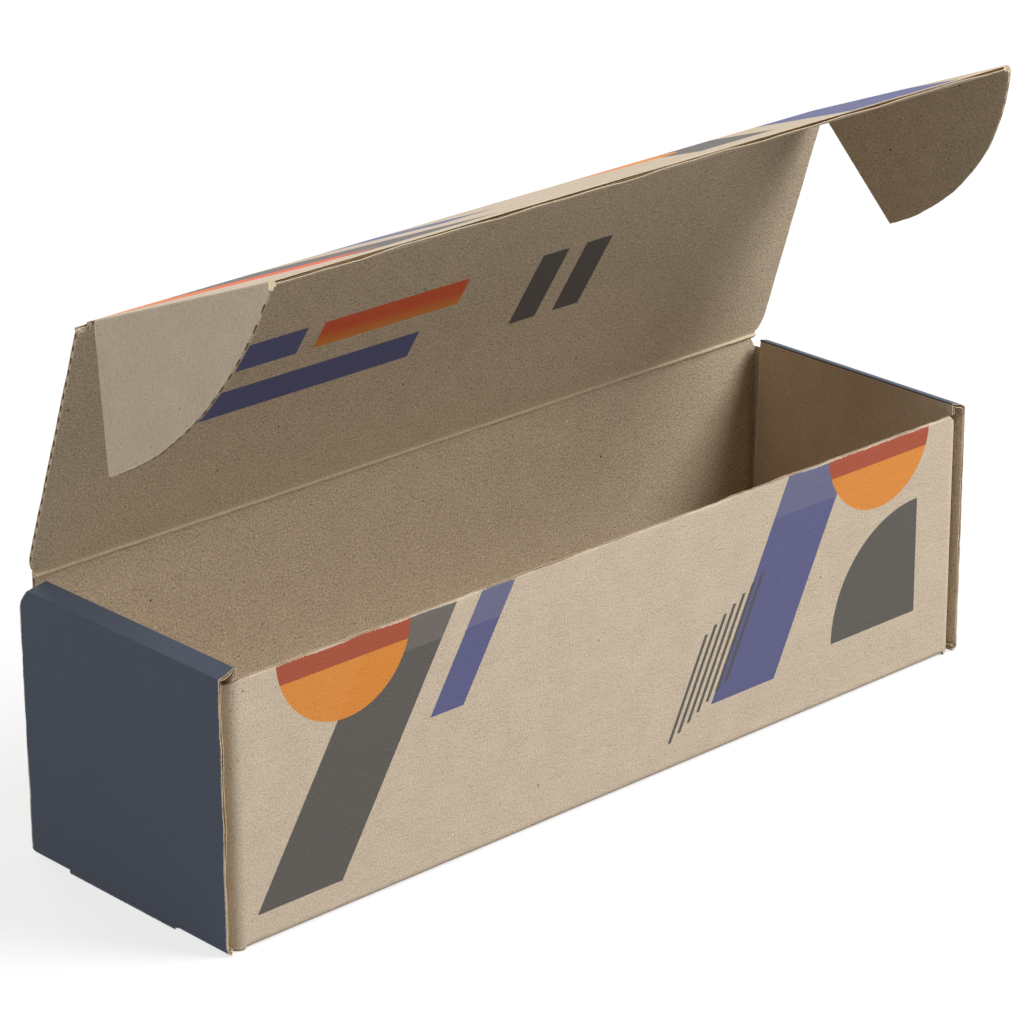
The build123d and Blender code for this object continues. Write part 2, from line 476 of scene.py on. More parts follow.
@dataclass(frozen=True)
class Ply:
    """A folded ply of board, as a path swept across a width that may change along it."""

    board: Board
    path: FoldPath
    place: Place
    low: Limit
    high: Limit
    flutes: Run
    blank: SheetMap
    cut: frozenset[Edge] = frozenset()
    marks: tuple[float, ...] = ()
    columns: int = 12
    step: float | None = None
    liner_near: tuple[float, ...] = (0.3, 0.7, 1.3, 2.6)
    flute_near: tuple[float, ...] = (0.4,)
    flute_inset: float = 0.16
    flute_columns: int = 14
    flute_gap: float = 5.0
    flute_steps: int = 10
    flute_least: int = 8
    least_width: float = 1e-3
    near_part: float = 4.0
    seal_steps: int = 12
    seal_depth: float = 0.3
    seal_deep: tuple[float, ...] = (0.0, 1.0, 1.0, 0.0)
    seal_share: tuple[float, ...] = (0.0, 0.2, 0.8, 1.0)
    torn_depth: float = 0.35
    torn: Wobble = Wobble(size=0.1, seed=83, waves=(9.0, 4.1, 1.9))

    def _across(self, stations: Sequence[Station], inset: float, near: Sequence[float], middle: int) -> Array:
        """Positions across the ply at each station, denser by both edges.

        Args:
            stations: Stations along the path.
            inset: How far the outermost positions stay inside the edges.
            near: Distances from each edge that get a position.
            middle: Positions between those.

        Returns:
            Stations by positions.
        """
        rows = []
        for s in stations:
            low, high = self.low(s) + inset, self.high(s) - inset
            scale = min(1.0, max(high - low, self.least_width) / (self.near_part * max(near)))
            edge = np.array((0.0, *near)) * scale
            inner = np.linspace(low + edge[-1], high - edge[-1], middle + 2)[1:-1]
            rows.append(np.concatenate([low + edge, inner, high - edge[::-1]]))
        return np.array(rows)

    @staticmethod
    def _runs(stations: Sequence[Station], columns: int) -> Array:
        """Run of each station, repeated over a number of columns."""
        return np.repeat(np.array([[s.run] for s in stations]), columns, 1)

    def _by_flutes(self, run: Array, across: Array) -> tuple[Array, Array]:
        """Distances across and along the flutes."""
        return (run, across) if self.flutes is Run.ACROSS else (across, run)

    def _points(self, stations: Sequence[Station], across: Array, depth: Array) -> Array:
        """Points of the ply at a depth below its outer face.

        Args:
            stations: Stations along the path.
            across: Stations by positions across the ply.
            depth: Depth of each point.

        Returns:
            Stations by positions by three.
        """
        at = np.array([s.at for s in stations])
        inward = np.array([s.inward for s in stations])
        room = np.array([[self.path.room(s.run)] for s in stations])
        flat = at[:, None, :] + inward[:, None, :] * np.minimum(depth, room)[..., None]
        g = self.place
        return g.origin + flat[..., :1] * g.p + flat[..., 1:] * g.q + across[..., None] * g.e

    def _pressed(self, run: Array, across: Array, reach: float) -> Array:
        """Share of the full pinch that the die has left by the cut edges.

        Args:
            run: Distance of each point along the path.
            across: Distance of each point across the ply.
            reach: How far from an edge the pinch fades out.

        Returns:
            A share from 0 to 1 for each point.
        """
        sides = self.flutes is Run.ACROSS
        pressed = np.zeros(run.shape)
        for edge, gap, over in (
            (Edge.LOW, across - across[:, :1], sides),
            (Edge.HIGH, across[:, -1:] - across, sides),
            (Edge.START, run, not sides),
            (Edge.END, self.path.length() - run, not sides),
        ):
            if edge in self.cut:
                share = self.board.closed(*self._by_flutes(run, across), over) * np.exp(-((gap / reach) ** 2))
                pressed = np.maximum(pressed, share)
        return pressed

    def _faces(self, press: Array) -> tuple[Array, Array]:
        """Depth of the outer and the inner face where the board is pressed."""
        return press * self.board.pinch_out, self.board.thickness - press * self.board.pinch_in

    def _slab(
        self,
        mesh: BoardMesh,
        stations: Sequence[Station],
        across: Array,
        depths: tuple[Array, Array],
        sides: tuple[Side, Side, Side],
        wear: Array | None = None,
    ) -> None:
        """Adds a closed sheet of paper between two depths.

        Args:
            mesh: Mesh to add to.
            stations: Stations along the path.
            across: Stations by positions across the ply.
            depths: Depth of its upper and its lower face.
            sides: Material slots of its upper face, lower face and edges.
            wear: How worn the paper is, or none.
        """
        blank = self.blank(self._runs(stations, across.shape[1]), across)
        flip = not self.place.handed()
        upper, lower = (mesh.grid(self._points(stations, across, d), blank, wear) for d in depths)
        mesh.skin(upper, sides[0], flip)
        mesh.skin(lower, sides[1], not flip)
        mesh.rim(upper, lower, sides[2], flip)

    def liners(self, mesh: BoardMesh) -> None:
        """Adds the two paper faces.

        Args:
            mesh: Mesh to add to.
        """
        board = self.board
        stations = self.path.stations(self.marks, self.step)
        across = self._across(stations, 0.0, self.liner_near, self.columns)
        run = self._runs(stations, across.shape[1])
        wear = self._pressed(run, across, board.wear_reach)
        top, bottom = self._faces(self._pressed(run, across, board.pinch_reach))
        outer, inner = (top, top + board.liner), (bottom - board.liner, bottom)
        self._slab(mesh, stations, across, outer, (Side.OUTSIDE, Side.CUT, Side.CUT), wear)
        self._slab(mesh, stations, across, inner, (Side.CUT, Side.INSIDE, Side.CUT), wear)

    def seal(self, mesh: BoardMesh, edge: Edge, last: float = math.inf) -> None:
        """Closes a cut edge where the die has crushed the papers together, but for the open flutes.

        Args:
            mesh: Mesh to add to.
            edge: The start, the low or the high edge.
            last: Run where a seal along the low or high edge stops.
        """
        board, over = self.board, self.flutes is Run.ACROSS
        deep, share = np.array(self.seal_deep), np.array(self.seal_share)
        if edge is Edge.START:
            stations = [self.path.at(self.seal_depth * d) for d in deep]
            across = np.repeat(self._across(stations[:1], 0.0, self.liner_near, self.columns), len(deep), 0)
            run, share = np.zeros(across.shape), share[:, None]
            press = self._pressed(run, across, board.pinch_reach)
        else:
            stations = self.path.stations(self.marks, board.pitch / self.seal_steps if over else self.step)
            stations = [s for s in stations if s.run <= last]
            run = self._runs(stations, 1)
            line = np.array([[self.low(s) if edge is Edge.LOW else self.high(s)] for s in stations])
            torn = np.array([[self.torn_depth + self.torn(s.run)] for s in stations])
            sunk = board.pocket(run, line) if over else torn
            press = board.closed(*self._by_flutes(run, line), over)
            across = line + sunk * deep * (1.0 if edge is Edge.LOW else -1.0)
            run = np.repeat(run, len(deep), 1)
        top, bottom = self._faces(press)
        points = self._points(stations, across, top + (bottom - top) * share)
        index = mesh.grid(points, self.blank(run, across))
        mesh.skin(index, Side.CUT, self.place.handed() is not (edge is Edge.HIGH))

    def fluting(self, mesh: BoardMesh, first: float = 0.0, last: float = 1.0) -> None:
        """Adds the fluted medium, or the part of it between two shares of the way across.

        Args:
            mesh: Mesh to add to.
            first: Share of the width where it starts.
            last: Share of the width where it ends.
        """
        board, inset = self.board, self.flute_inset
        fine = board.pitch / self.flute_steps
        if self.flutes is Run.ACROSS:
            end = self.path.length() - inset
            stations = [s for s in self.path.stations(self.marks, fine) if inset <= s.run <= end]
            across = self._across(stations, inset, self.flute_near, self.flute_columns)
        else:
            stations = self.path.stations(self.marks, self.flute_gap)
            wide = self._across(stations, inset, self.flute_near, 1)
            low, high = wide[:, :1], wide[:, -1:]
            width = float(np.max(high - low)) * (last - first)
            count = max(self.flute_least, math.ceil(width / fine))
            across = low + (high - low) * np.linspace(first, last, count)[None, :]
        run = self._runs(stations, across.shape[1])
        press = self._pressed(run, across, board.pinch_reach)
        middle = board.thickness / 2
        squeeze = 1 - press * (board.pinch_out + board.pinch_in) / (board.thickness - 2 * board.liner)
        shift = press * (board.pinch_out - board.pinch_in) / 2
        depth = middle + shift + (board.wave(*self._by_flutes(run, across)) - middle) * squeeze
        depths = depth - board.medium / 2, depth + board.medium / 2
        self._slab(mesh, stations, across, depths, (Side.FLUTE, Side.FLUTE, Side.FLUTE))


@dataclass(frozen=True)
class Crease:
    """Crushed board along a crease that moves, built at rest as a bend between the two bodies it spans."""

    name: str
    bodies: tuple[str, str]
    origin: Array
    axis: Array
    ends: Pair
    ways: tuple[Array, Array]
    outs: tuple[Array, Array]
    blank: SheetMap
    bead: float
    lean: float
    half: float
    board: Board
    seed: int
    lap: float = 0.5
    sink: float = 0.07
    fold_flat: float = 0.4
    least_turn: float = 1e-6
    sharpest: float = 0.5
    bead_power: float = 0.7
    bead_share: float = 0.7
    bead_swing: float = 1.6
    bead_wobble: float = 0.09
    bead_waves: tuple[float, ...] = (17.0, 7.3, 4.4, 2.1)
    arc_steps: int = 8
    step: float = 3.0

    def section(self, bead: float) -> tuple[Array, Array, int]:
        """Closed section round the crease.

        Args:
            bead: How far the inner paper is pushed up.

        Returns:
            Points, their signed distance from the crease, and how many of them are on the outside.
        """
        t, w, far = self.board.thickness / 2, self.half, self.half + self.lap
        (a, b), (na, nb), under = self.ways, self.outs, self.board.thickness / 2 - self.sink
        turn = angle(na, nb)
        outer = [(a * far + na * under, -far), (a * w + na * t, -w)]
        shares = [k / self.arc_steps for k in range(self.arc_steps + 1)]
        for f in shares:
            mixed = na
            if turn >= self.least_turn:
                mixed = (math.sin((1 - f) * turn) * na + math.sin(f * turn) * nb) / math.sin(turn)
            outer.append((mixed * t, (f - 0.5) * self.fold_flat))
        outer += [(b * w + nb * t, w), (b * far + nb * under, far)]
        rise = -unit(na + nb)
        inner = [(b * far - nb * under, far), (b * w - nb * t, w)]
        valley, low = rise * (t / max(self.sharpest, math.cos(turn / 2))), a * w - na * t
        for f in shares:
            swell = math.sin(math.pi * f) ** self.bead_power * bead * self.bead_share
            inner.append(((1 - f) * valley + f * low + (rise - self.lean * na) * swell, -w * f))
        inner.append((a * far - na * under, -far))
        points, away = zip(*outer, *inner)
        return np.array(points), np.array(away), len(outer)

    def build(self, finishes: Sequence[Material]) -> Object:
        """Makes the strip, bent at rest between its bodies.

        Args:
            finishes: Materials in Side order.

        Returns:
            The strip.
        """
        mesh = BoardMesh(self.name)
        count = max(2, math.ceil((self.ends[1] - self.ends[0]) / self.step))
        places = np.linspace(*self.ends, count + 1)
        uneven = Wobble(self.bead_wobble, self.seed, self.bead_waves)
        rings, flats, split = [], [], 0
        for x in places:
            points, away, split = self.section(self.bead * (1 + self.bead_swing * uneven(float(x))))
            rings.append(self.origin + self.axis * x + points)
            flats.append(self.blank(np.full(len(away), x), away))
        ring = np.array(rings)
        index = mesh.grid(ring, np.array(flats))
        around = np.concatenate([index, index[:, :1]], 1)
        flip = float(np.cross(self.axis, ring[0, 1] - ring[0, 0]) @ self.outs[0]) < 0
        for part, side in (
            (around[:, :split], Side.OUTSIDE),
            (around[:, split - 1:split + 1], Side.CUT),
            (around[:, split:-1], Side.INSIDE),
            (around[:, -2:], Side.CUT),
        ):
            mesh.skin(part, side, flip)
        for row, back in ((index[0], flip), (index[-1], not flip)):
            mesh.face(row if back else row[::-1], Side.CUT)
        obj = mesh.build(finishes)
        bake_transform(obj)
        return obj


@dataclass(frozen=True)
class Graph:
    """A node tree, with short ways to add nodes and join them."""

    tree: Tree

    @classmethod
    def group(
        cls, name: str, inputs: dict[str, str], outputs: dict[str, str]
    ) -> tuple["Graph", dict[str, Socket], Node]:
        """Starts a shader group with named sockets.

        Args:
            name: Name of the group.
            inputs: Names and socket kinds of its inputs.
            outputs: Names and socket kinds of its outputs.

        Returns:
            The graph, its input sockets by name and its output node.
        """
        tree = bpy.data.node_groups.new(name, "ShaderNodeTree")
        for direction, sockets in (("INPUT", inputs), ("OUTPUT", outputs)):
            for label, kind in sockets.items():
                tree.interface.new_socket(label, in_out=direction, socket_type=f"NodeSocket{kind}")
        given = tree.nodes.new("NodeGroupInput").outputs
        return cls(tree), {label: given[label] for label in inputs}, tree.nodes.new("NodeGroupOutput")

    @classmethod
    def material(cls, name: str) -> tuple[Material, "Graph", Node]:
        """Starts a node material.

        Args:
            name: Name of the material.

        Returns:
            The material, its graph and its Principled shader.
        """
        mat = bpy.data.materials.new(name)
        mat.use_nodes = True
        shader = next(n for n in mat.node_tree.nodes if n.type == "BSDF_PRINCIPLED")
        return mat, cls(mat.node_tree), shader

    def add(self, kind: str, inputs: dict[str | int, object], **settings: object) -> Node:
        """Adds a node.

        Args:
            kind: Its type, without the leading words that all shader nodes share.
            inputs: Numbers, colours or sockets that feed its inputs.
            settings: Its other settings.

        Returns:
            The node.
        """
        node = self.tree.nodes.new(f"ShaderNode{kind}")
        for name, value in settings.items():
            setattr(node, name, value)
        self.feed(node, inputs)
        return node

    def feed(self, node: Node, inputs: dict[str | int, object]) -> None:
        """Sets a node's inputs.

        Args:
            node: The node.
            inputs: Numbers, colours or sockets, by name or number of the input.
        """
        for key, value in inputs.items():
            if isinstance(value, Socket):
                self.tree.links.new(value, node.inputs[key])
            else:
                node.inputs[key].default_value = value

    def maths(self, operation: str, *values: float | Socket) -> Socket:
        """Result of a Math node."""
        return self.add("Math", dict(enumerate(values)), operation=operation).outputs["Value"]

    def scaled(self, vector: Socket, scale: float | Socket) -> Socket:
        """A vector or colour times a number."""
        return self.add("VectorMath", {0: vector, "Scale": scale}, operation="SCALE").outputs["Vector"]

    def split(self, vector: Socket) -> bpy.types.NodeOutputs:
        """The X, Y and Z of a vector."""
        return self.add("SeparateXYZ", {"Vector": vector}).outputs

    def step(self, value: Socket, low: float, high: float) -> Socket:
        """A soft step from 0 at low to 1 at high."""
        inputs = {"Value": value, "From Min": low, "From Max": high}
        return self.add("MapRange", inputs, interpolation_type="SMOOTHSTEP").outputs["Result"]

    def blend(self, share: Socket, under: Colour | Socket, over: Colour | Socket) -> Socket:
        """A mix of two colours."""
        return self.add("Mix", {"Factor": share, "A": under, "B": over}, data_type="RGBA").outputs["Result"]

    def noise(self, vector: Socket, scale: float, detail: float) -> Socket:
        """Value of a noise texture."""
        inputs = {"Vector": vector, "Scale": scale, "Detail": detail}
        return self.add("TexNoise", inputs, noise_dimensions="2D").outputs["Fac"]

    def turned(self, vector: Socket, degrees: float, scale: Pair, shift: Pair) -> Socket:
        """Sheet coordinates, turned, stretched and shifted.

        Args:
            vector: The coordinates.
            degrees: How far they turn.
            scale: Stretch of each.
            shift: Shift of each.

        Returns:
            The new coordinates.
        """
        turn = (0.0, 0.0, math.radians(degrees))
        inputs = {"Vector": vector, "Location": (*shift, 0.0), "Rotation": turn, "Scale": (*scale, 1.0)}
        return self.add("Mapping", inputs).outputs["Vector"]

    def specks(self, vector: Socket, per_mm: float, size: float, share: float) -> Socket:
        """Mask of scattered specks of uneven size.

        Args:
            vector: Coordinates in millimetres.
            per_mm: Cells in a millimetre.
            size: Largest radius, as a share of a cell.
            share: Share of the cells that hold one.

        Returns:
            The mask.
        """
        soft = 0.012
        cell = self.add("TexVoronoi", {"Vector": vector, "Scale": per_mm}, voronoi_dimensions="2D").outputs
        lot = self.add("SeparateColor", {"Color": cell["Color"]}).outputs
        radius = self.maths("MULTIPLY", self.maths("POWER", lot["Green"], 2.0), size)
        dot = self.step(self.maths("SUBTRACT", radius, cell["Distance"]), -soft, soft)
        return self.maths("MULTIPLY", dot, self.maths("LESS_THAN", lot["Red"], share))

    def seen(self) -> Socket:
        """Tells the rays that show a surface straight, mirrored or through another.

        Returns:
            One on those rays and nothing on others.
        """
        path = self.add("LightPath", {}).outputs
        straight = self.maths("MAXIMUM", path["Is Camera Ray"], path["Is Glossy Ray"])
        return self.maths("MAXIMUM", straight, path["Is Transmission Ray"])


class ShaderGroups:
    """Shader groups that the finishes share."""

    MOTTLE = (0.09, 3.0)
    MOTTLE_SWING = 0.16
    GRAIN = (1.4, 1.0)
    GRAIN_HEIGHT = 0.55
    FLUTE_HEIGHT = 0.05
    STRANDS = (1.0, 1.0)
    FIBRES = ((8.0, (0.0, 0.0), 0.64), (-27.0, (31.0, 7.0), 0.66), (48.0, (13.0, 59.0), 0.67))
    FIBRE_STRETCH = (0.28, 2.6)
    FIBRE_SOFT = 0.1
    FIBRE_SHARE = 0.3
    PALE_FIBRE = linear(226, 210, 186)
    DARK_FIBRE = linear(120, 98, 72)
    WORN = linear(242, 228, 206)
    TORN = 0.5
    TORN_STEP = (0.3, 0.65)
    TORN_SHARE = 0.7
    SPECKS = (
        (0.0, (1.0, 1.0), (0.0, 0.0), (0.42, 0.1, 0.5), linear(88, 68, 46), 0.55),
        (20.0, (1.0, 1.0), (17.0, 5.0), (0.24, 0.075, 0.45), linear(240, 228, 208), 0.6),
        (63.0, (1.0, 0.7), (3.0, 41.0), (0.085, 0.027, 0.6), linear(66, 48, 32), 0.75),
    )
    INK_CREEP = 0.00016
    INK_SOFT = 0.00006
    INK_SWING = 0.22

    def __init__(self, board: Board) -> None:
        """Builds every group once."""
        self.kraft, self.rim, self.ink = self._kraft(board), self._rim(), self._ink()
        self.fields = {shape: self._field(shape) for shape in Shape}

    def _kraft(self, board: Board) -> Tree:
        """Kraft paper: mottle, grain, fibres, dark and pale flecks, and the flutes showing through.

        Args:
            board: The board, whose flutes show.

        Returns:
            The group.
        """
        g, given, made = Graph.group(
            "Kraft Paper",
            {"Blank": "Vector", "Tone": "Color", "Flecks": "Float", "Depth": "Float"},
            {"Color": "Color", "Grain": "Float", "Height": "Float"},
        )
        mm = g.scaled(given["Blank"], 1 / MM)
        mottle, grain = g.noise(mm, *self.MOTTLE), g.noise(mm, *self.GRAIN)
        fibres = []
        for turn, shift, low in self.FIBRES:
            strands = g.noise(g.turned(mm, turn, self.FIBRE_STRETCH, shift), *self.STRANDS)
            fibres.append(g.step(strands, low, low + self.FIBRE_SOFT))
        uneven = g.maths("MULTIPLY_ADD", g.maths("SUBTRACT", grain, 0.5), given["Depth"], 1.0)
        cloud = g.maths("MULTIPLY_ADD", mottle, self.MOTTLE_SWING, 1 - self.MOTTLE_SWING / 2)
        colour = g.scaled(given["Tone"], g.maths("MULTIPLY", cloud, uneven))
        flecks = [
            (g.maths("MAXIMUM", *fibres[:2]), self.PALE_FIBRE, self.FIBRE_SHARE),
            (fibres[2], self.DARK_FIBRE, self.FIBRE_SHARE),
        ]
        for turn, stretch, shift, scatter, tint, amount in self.SPECKS:
            flecks.append((g.specks(g.turned(mm, turn, stretch, shift), *scatter), tint, amount))
        for mask, tint, amount in flecks:
            share = g.maths("MULTIPLY", g.maths("MULTIPLY", mask, given["Flecks"]), amount)
            colour = g.blend(share, colour, tint)
        flute = g.maths("SINE", g.maths("MULTIPLY", g.split(mm)["Y"], 2 * math.pi / board.pitch))
        fuzz = g.maths("MULTIPLY", grain, self.GRAIN_HEIGHT)
        height = g.maths("MULTIPLY_ADD", flute, self.FLUTE_HEIGHT, fuzz)
        g.feed(made, {"Color": colour, "Grain": grain, "Height": height})
        return g.tree

    def _field(self, shape: Shape) -> Tree:
        """Mask of a field of ink, which creeps a little into the paper.

        Args:
            shape: A straight or slanted bar, or a disc.

        Returns:
            The group.
        """
        inputs = {
            "Blank": "Vector", "Grain": "Float", "Centre": "Vector", "Half Size": "Vector", "Slant": "Float"
        }
        g, given, made = Graph.group(f"Ink {shape.value.title()}", inputs, {"Mask": "Float"})
        ends = {0: given["Blank"], 1: given["Centre"]}
        gap = g.split(g.add("VectorMath", ends, operation="SUBTRACT").outputs["Vector"])
        creep = g.maths("MULTIPLY_ADD", given["Grain"], self.INK_CREEP, -self.INK_CREEP / 2)
        across, along = (g.maths("ADD", gap[axis], creep) for axis in "XY")
        half = g.split(given["Half Size"])
        if shape is Shape.BAR:
            lean = g.maths("SUBTRACT", across, g.maths("MULTIPLY", along, given["Slant"]))
            side = g.maths("SUBTRACT", half["X"], g.maths("ABSOLUTE", lean))
            within = g.maths("MINIMUM", side, g.maths("SUBTRACT", half["Y"], g.maths("ABSOLUTE", along)))
        else:
            square = g.maths("MULTIPLY_ADD", across, across, g.maths("MULTIPLY", along, along))
            within = g.maths("SUBTRACT", half["X"], g.maths("SQRT", square))
        g.feed(made, {"Mask": g.step(within, -self.INK_SOFT, self.INK_SOFT)})
        return g.tree

    def _rim(self) -> Tree:
        """Torn, paler fibres along a cut edge.

        Returns:
            The group.
        """
        inputs = {"Edge": "Vector", "Grain": "Float", "Paper": "Color"}
        g, given, made = Graph.group("Worn Rim", inputs, {"Color": "Color"})
        grain = g.maths("SUBTRACT", given["Grain"], 0.5)
        torn = g.maths("MULTIPLY_ADD", grain, self.TORN, g.split(given["Edge"])["X"])
        share = g.maths("MULTIPLY", g.step(torn, *self.TORN_STEP), self.TORN_SHARE)
        g.feed(made, {"Color": g.blend(share, given["Paper"], self.WORN)})
        return g.tree

    def _ink(self) -> Tree:
        """Ink laid on paper, with the paper's grain showing faintly through.

        Returns:
            The group.
        """
        inputs = {"Paper": "Color", "Ink": "Color", "Mask": "Float", "Cover": "Float", "Grain": "Float"}
        g, given, made = Graph.group("Ink On Paper", inputs, {"Color": "Color"})
        level = g.maths("MULTIPLY_ADD", given["Grain"], self.INK_SWING, 1 - self.INK_SWING / 2)
        wet = g.scaled(given["Ink"], level)
        share = g.maths("MULTIPLY", given["Mask"], given["Cover"])
        g.feed(made, {"Color": g.blend(share, given["Paper"], wet)})
        return g.tree


@dataclass(frozen=True)
class Ink:
    """A printing ink: its colour, a second colour that it fades to, and how well it covers."""

    colour: Colour
    fade: Colour | None = None
    cover: float = 0.96


class Inks:
    """The inks of the print."""

    SLATE = Ink(linear(61, 73, 91))
    CHARCOAL = Ink(linear(86, 83, 80))
    VIOLET = Ink(linear(86, 90, 134))
    ORANGE = Ink(linear(222, 92, 54), linear(226, 142, 58))
    RUST = Ink(linear(160, 72, 60), cover=0.88)
    STEEL = Ink(linear(112, 112, 140), cover=0.85)
    ASH = Ink(linear(116, 110, 102), cover=0.8)


@dataclass(frozen=True)
class Field:
    """One simple field of ink on the flat sheet, in millimetres; a kept box cuts it off."""

    shape: Shape
    ink: Ink
    centre: Pair
    half: Pair
    slant: float = 0.0
    keep: tuple[float, float, float, float] | None = None
    fade_start: float = 0.1
    disc_reach: float = -1.0

    @property
    def fading(self) -> Pair:
        """Where a fade starts and ends along the sheet: down a bar, or at once past a disc's middle."""
        reach = self.half[1] if self.shape is Shape.BAR else self.disc_reach
        return (self.centre[1] + self.fade_start * reach) * MM, (self.centre[1] - reach) * MM

    def mask(self, g: Graph, groups: ShaderGroups, flat: Socket, grain: Socket) -> Socket:
        """Mask of the field, cut to its kept box where it has one.

        Args:
            g: Graph of the material.
            groups: The shared shader groups.
            flat: Place on the flat sheet.
            grain: The paper's grain.

        Returns:
            The mask.
        """
        parts = [(self.shape, self.centre, self.half, self.slant)]
        if self.keep is not None:
            low_u, high_u, low_v, high_v = self.keep
            middle = (low_u + high_u) / 2, (low_v + high_v) / 2
            parts.append((Shape.BAR, middle, ((high_u - low_u) / 2, (high_v - low_v) / 2), 0.0))
        masks = []
        for shape, centre, half, slant in parts:
            inputs = {"Blank": flat, "Grain": grain, "Slant": slant}
            for label, pair in (("Centre", centre), ("Half Size", half)):
                inputs[label] = (pair[0] * MM, pair[1] * MM, 0.0)
            masks.append(g.add("Group", inputs, node_tree=groups.fields[shape]).outputs["Mask"])
        return masks[0] if len(masks) == 1 else g.maths("MULTIPLY", *masks)

    def wet(self, g: Graph, flat: Socket) -> Colour | Socket:
        """Colour of the ink, or its fade to a second colour along the sheet.

        Args:
            g: Graph of the material.
            flat: Place on the flat sheet.

        Returns:
            A colour or the socket that gives it.
        """
        if self.ink.fade is None:
            return self.ink.colour
        first, last = self.fading
        inputs = {"Value": g.split(flat)["Y"], "From Min": first, "From Max": last}
        return g.blend(g.add("MapRange", inputs).outputs["Result"], self.ink.colour, self.ink.fade)


@dataclass(frozen=True)
class PaperFinish:
    """Paper of the board: a face with the fields printed on it, or raw paper at a cut edge.

    Bump and shine give the value for a face and then the one for raw paper.
    """

    name: str
    tone: Colour
    flecks: float = 0.6
    depth: float = 0.5
    roughness: float = 0.9
    fields: tuple[Field, ...] = ()
    raw: bool = False
    rough_swing: float = 0.12
    ink_gloss: float = 0.16
    bump_depth: float = 0.0004
    bump: Pair = (0.5, 0.7)
    shine: Pair = (0.25, 0.2)

    def material(self, groups: ShaderGroups) -> Material:
        """Builds the material.

        Args:
            groups: The shared shader groups.

        Returns:
            The finished material.
        """
        mat, g, shader = Graph.material(self.name)
        flat = g.add("UVMap", {}, uv_map=BLANK_MAP).outputs["UV"]
        inputs = {"Blank": flat, "Tone": self.tone, "Flecks": self.flecks, "Depth": self.depth}
        paper = g.add("Group", inputs, node_tree=groups.kraft).outputs
        colour, grain = paper["Color"], paper["Grain"]
        rough = g.maths("MULTIPLY_ADD", grain, self.rough_swing, self.roughness - self.rough_swing / 2)
        masks = []
        for entry in self.fields:
            masks.append(entry.mask(g, groups, flat, grain))
            inputs = {"Paper": colour, "Ink": entry.wet(g, flat), "Mask": masks[-1], "Cover": entry.ink.cover}
            colour = g.add("Group", {**inputs, "Grain": grain}, node_tree=groups.ink).outputs["Color"]
        if masks:
            covered = masks[0]
            for mask in masks[1:]:
                covered = g.maths("MAXIMUM", covered, mask)
            rough = g.maths("SUBTRACT", rough, g.maths("MULTIPLY", covered, self.ink_gloss))
        if not self.raw:
            worn = g.add("UVMap", {}, uv_map=EDGE_MAP).outputs["UV"]
            inputs = {"Edge": worn, "Grain": grain, "Paper": colour}
            colour = g.add("Group", inputs, node_tree=groups.rim).outputs["Color"]
        inputs = {"Strength": self.bump[self.raw], "Distance": self.bump_depth, "Height": paper["Height"]}
        normal = g.add("Bump", inputs).outputs["Normal"]
        inputs = {"Base Color": colour, "Roughness": rough, "Specular IOR Level": self.shine[self.raw]}
        g.feed(shader, {**inputs, "Normal": normal})
        return mat


@dataclass(frozen=True)
class BoxSizes:
    """Sizes of the folded sheet, in millimetres."""

    length: float = 331.6
    width: float = 97.0
    front_height: float = 89.4
    brow_height: float = 91.6
    crest_height: float = 93.9
    ply_gap: float = 0.15
    roll_slack: float = 1.2
    tuck_gap: float = 0.3
    fold_radius: float = 2.4
    bend_radius: float = 4.8
    brow_radius: float = 0.6
    right_brow_radius: float = 2.4
    crest_radius: float = 0.5
    corner_reach: float = 42.0
    corner_drop: float = 3.4
    left_easing: float = 3.0
    corner_slope: float = 3.6
    corner_inset: float = 1.2
    rear_flap_top: float = 89.1
    rear_shoulder: float = 87.0
    rear_round: float = 8.0
    toe_round: float = 3.0
    inner_rear_top: float = 6.0
    inner_rear_foot: float = 2.6
    tab_half: float = 26.0
    tab_offset: float = 3.0
    base_short: float = 0.2
    bend_foot: float = 0.5
    end_gap: float = 0.1
    heel_gap: float = 0.3
    tab_foot: float = 0.05
    foot_slack: float = 1e-3
    corner_lap: float = 0.2
    lid_half: float = 163.2
    lid_front_half: float = 161.8
    lid_length: float = 93.1
    lid_corner_rise: float = 3.8
    lid_corner_round: float = 12.0
    flap_depth: float = 92.0
    ear_fold: float = 157.75
    ear_reach: float = 46.1
    ear_root: float = 4.6
    ear_tip: float = 8.2
    ear_toe: float = 1.6
    ear_curve: float = 108.0
    ear_gap: float = 0.15
    ear_least: float = 0.05
    ear_crease_short: float = 0.1
    crease_half: float = 1.3
    crease_short: float = 0.25
    mark: float = 0.02
    past_fold: float = 0.01

    @property
    def roll_face(self) -> float:
        """Inner face of the roll-over ends from the middle."""
        return self.length / 2 - 3 * Board.thickness - self.roll_slack - self.ply_gap

    @property
    def corner_face(self) -> float:
        """Outer face of the corner flaps from the middle."""
        return self.length / 2 - Board.thickness - self.roll_slack

    @property
    def hinge_half(self) -> float:
        """End of the hinge crease from the middle."""
        return self.corner_face - self.fold_radius

    @property
    def hinge_v(self) -> float:
        """Hinge crease on the flat sheet."""
        return self.width / 2 + self.crest_height + self.tuck_gap + Board.thickness / 2

    @property
    def flap_v(self) -> float:
        """Lid's front crease on the flat sheet."""
        return self.hinge_v + self.lid_length


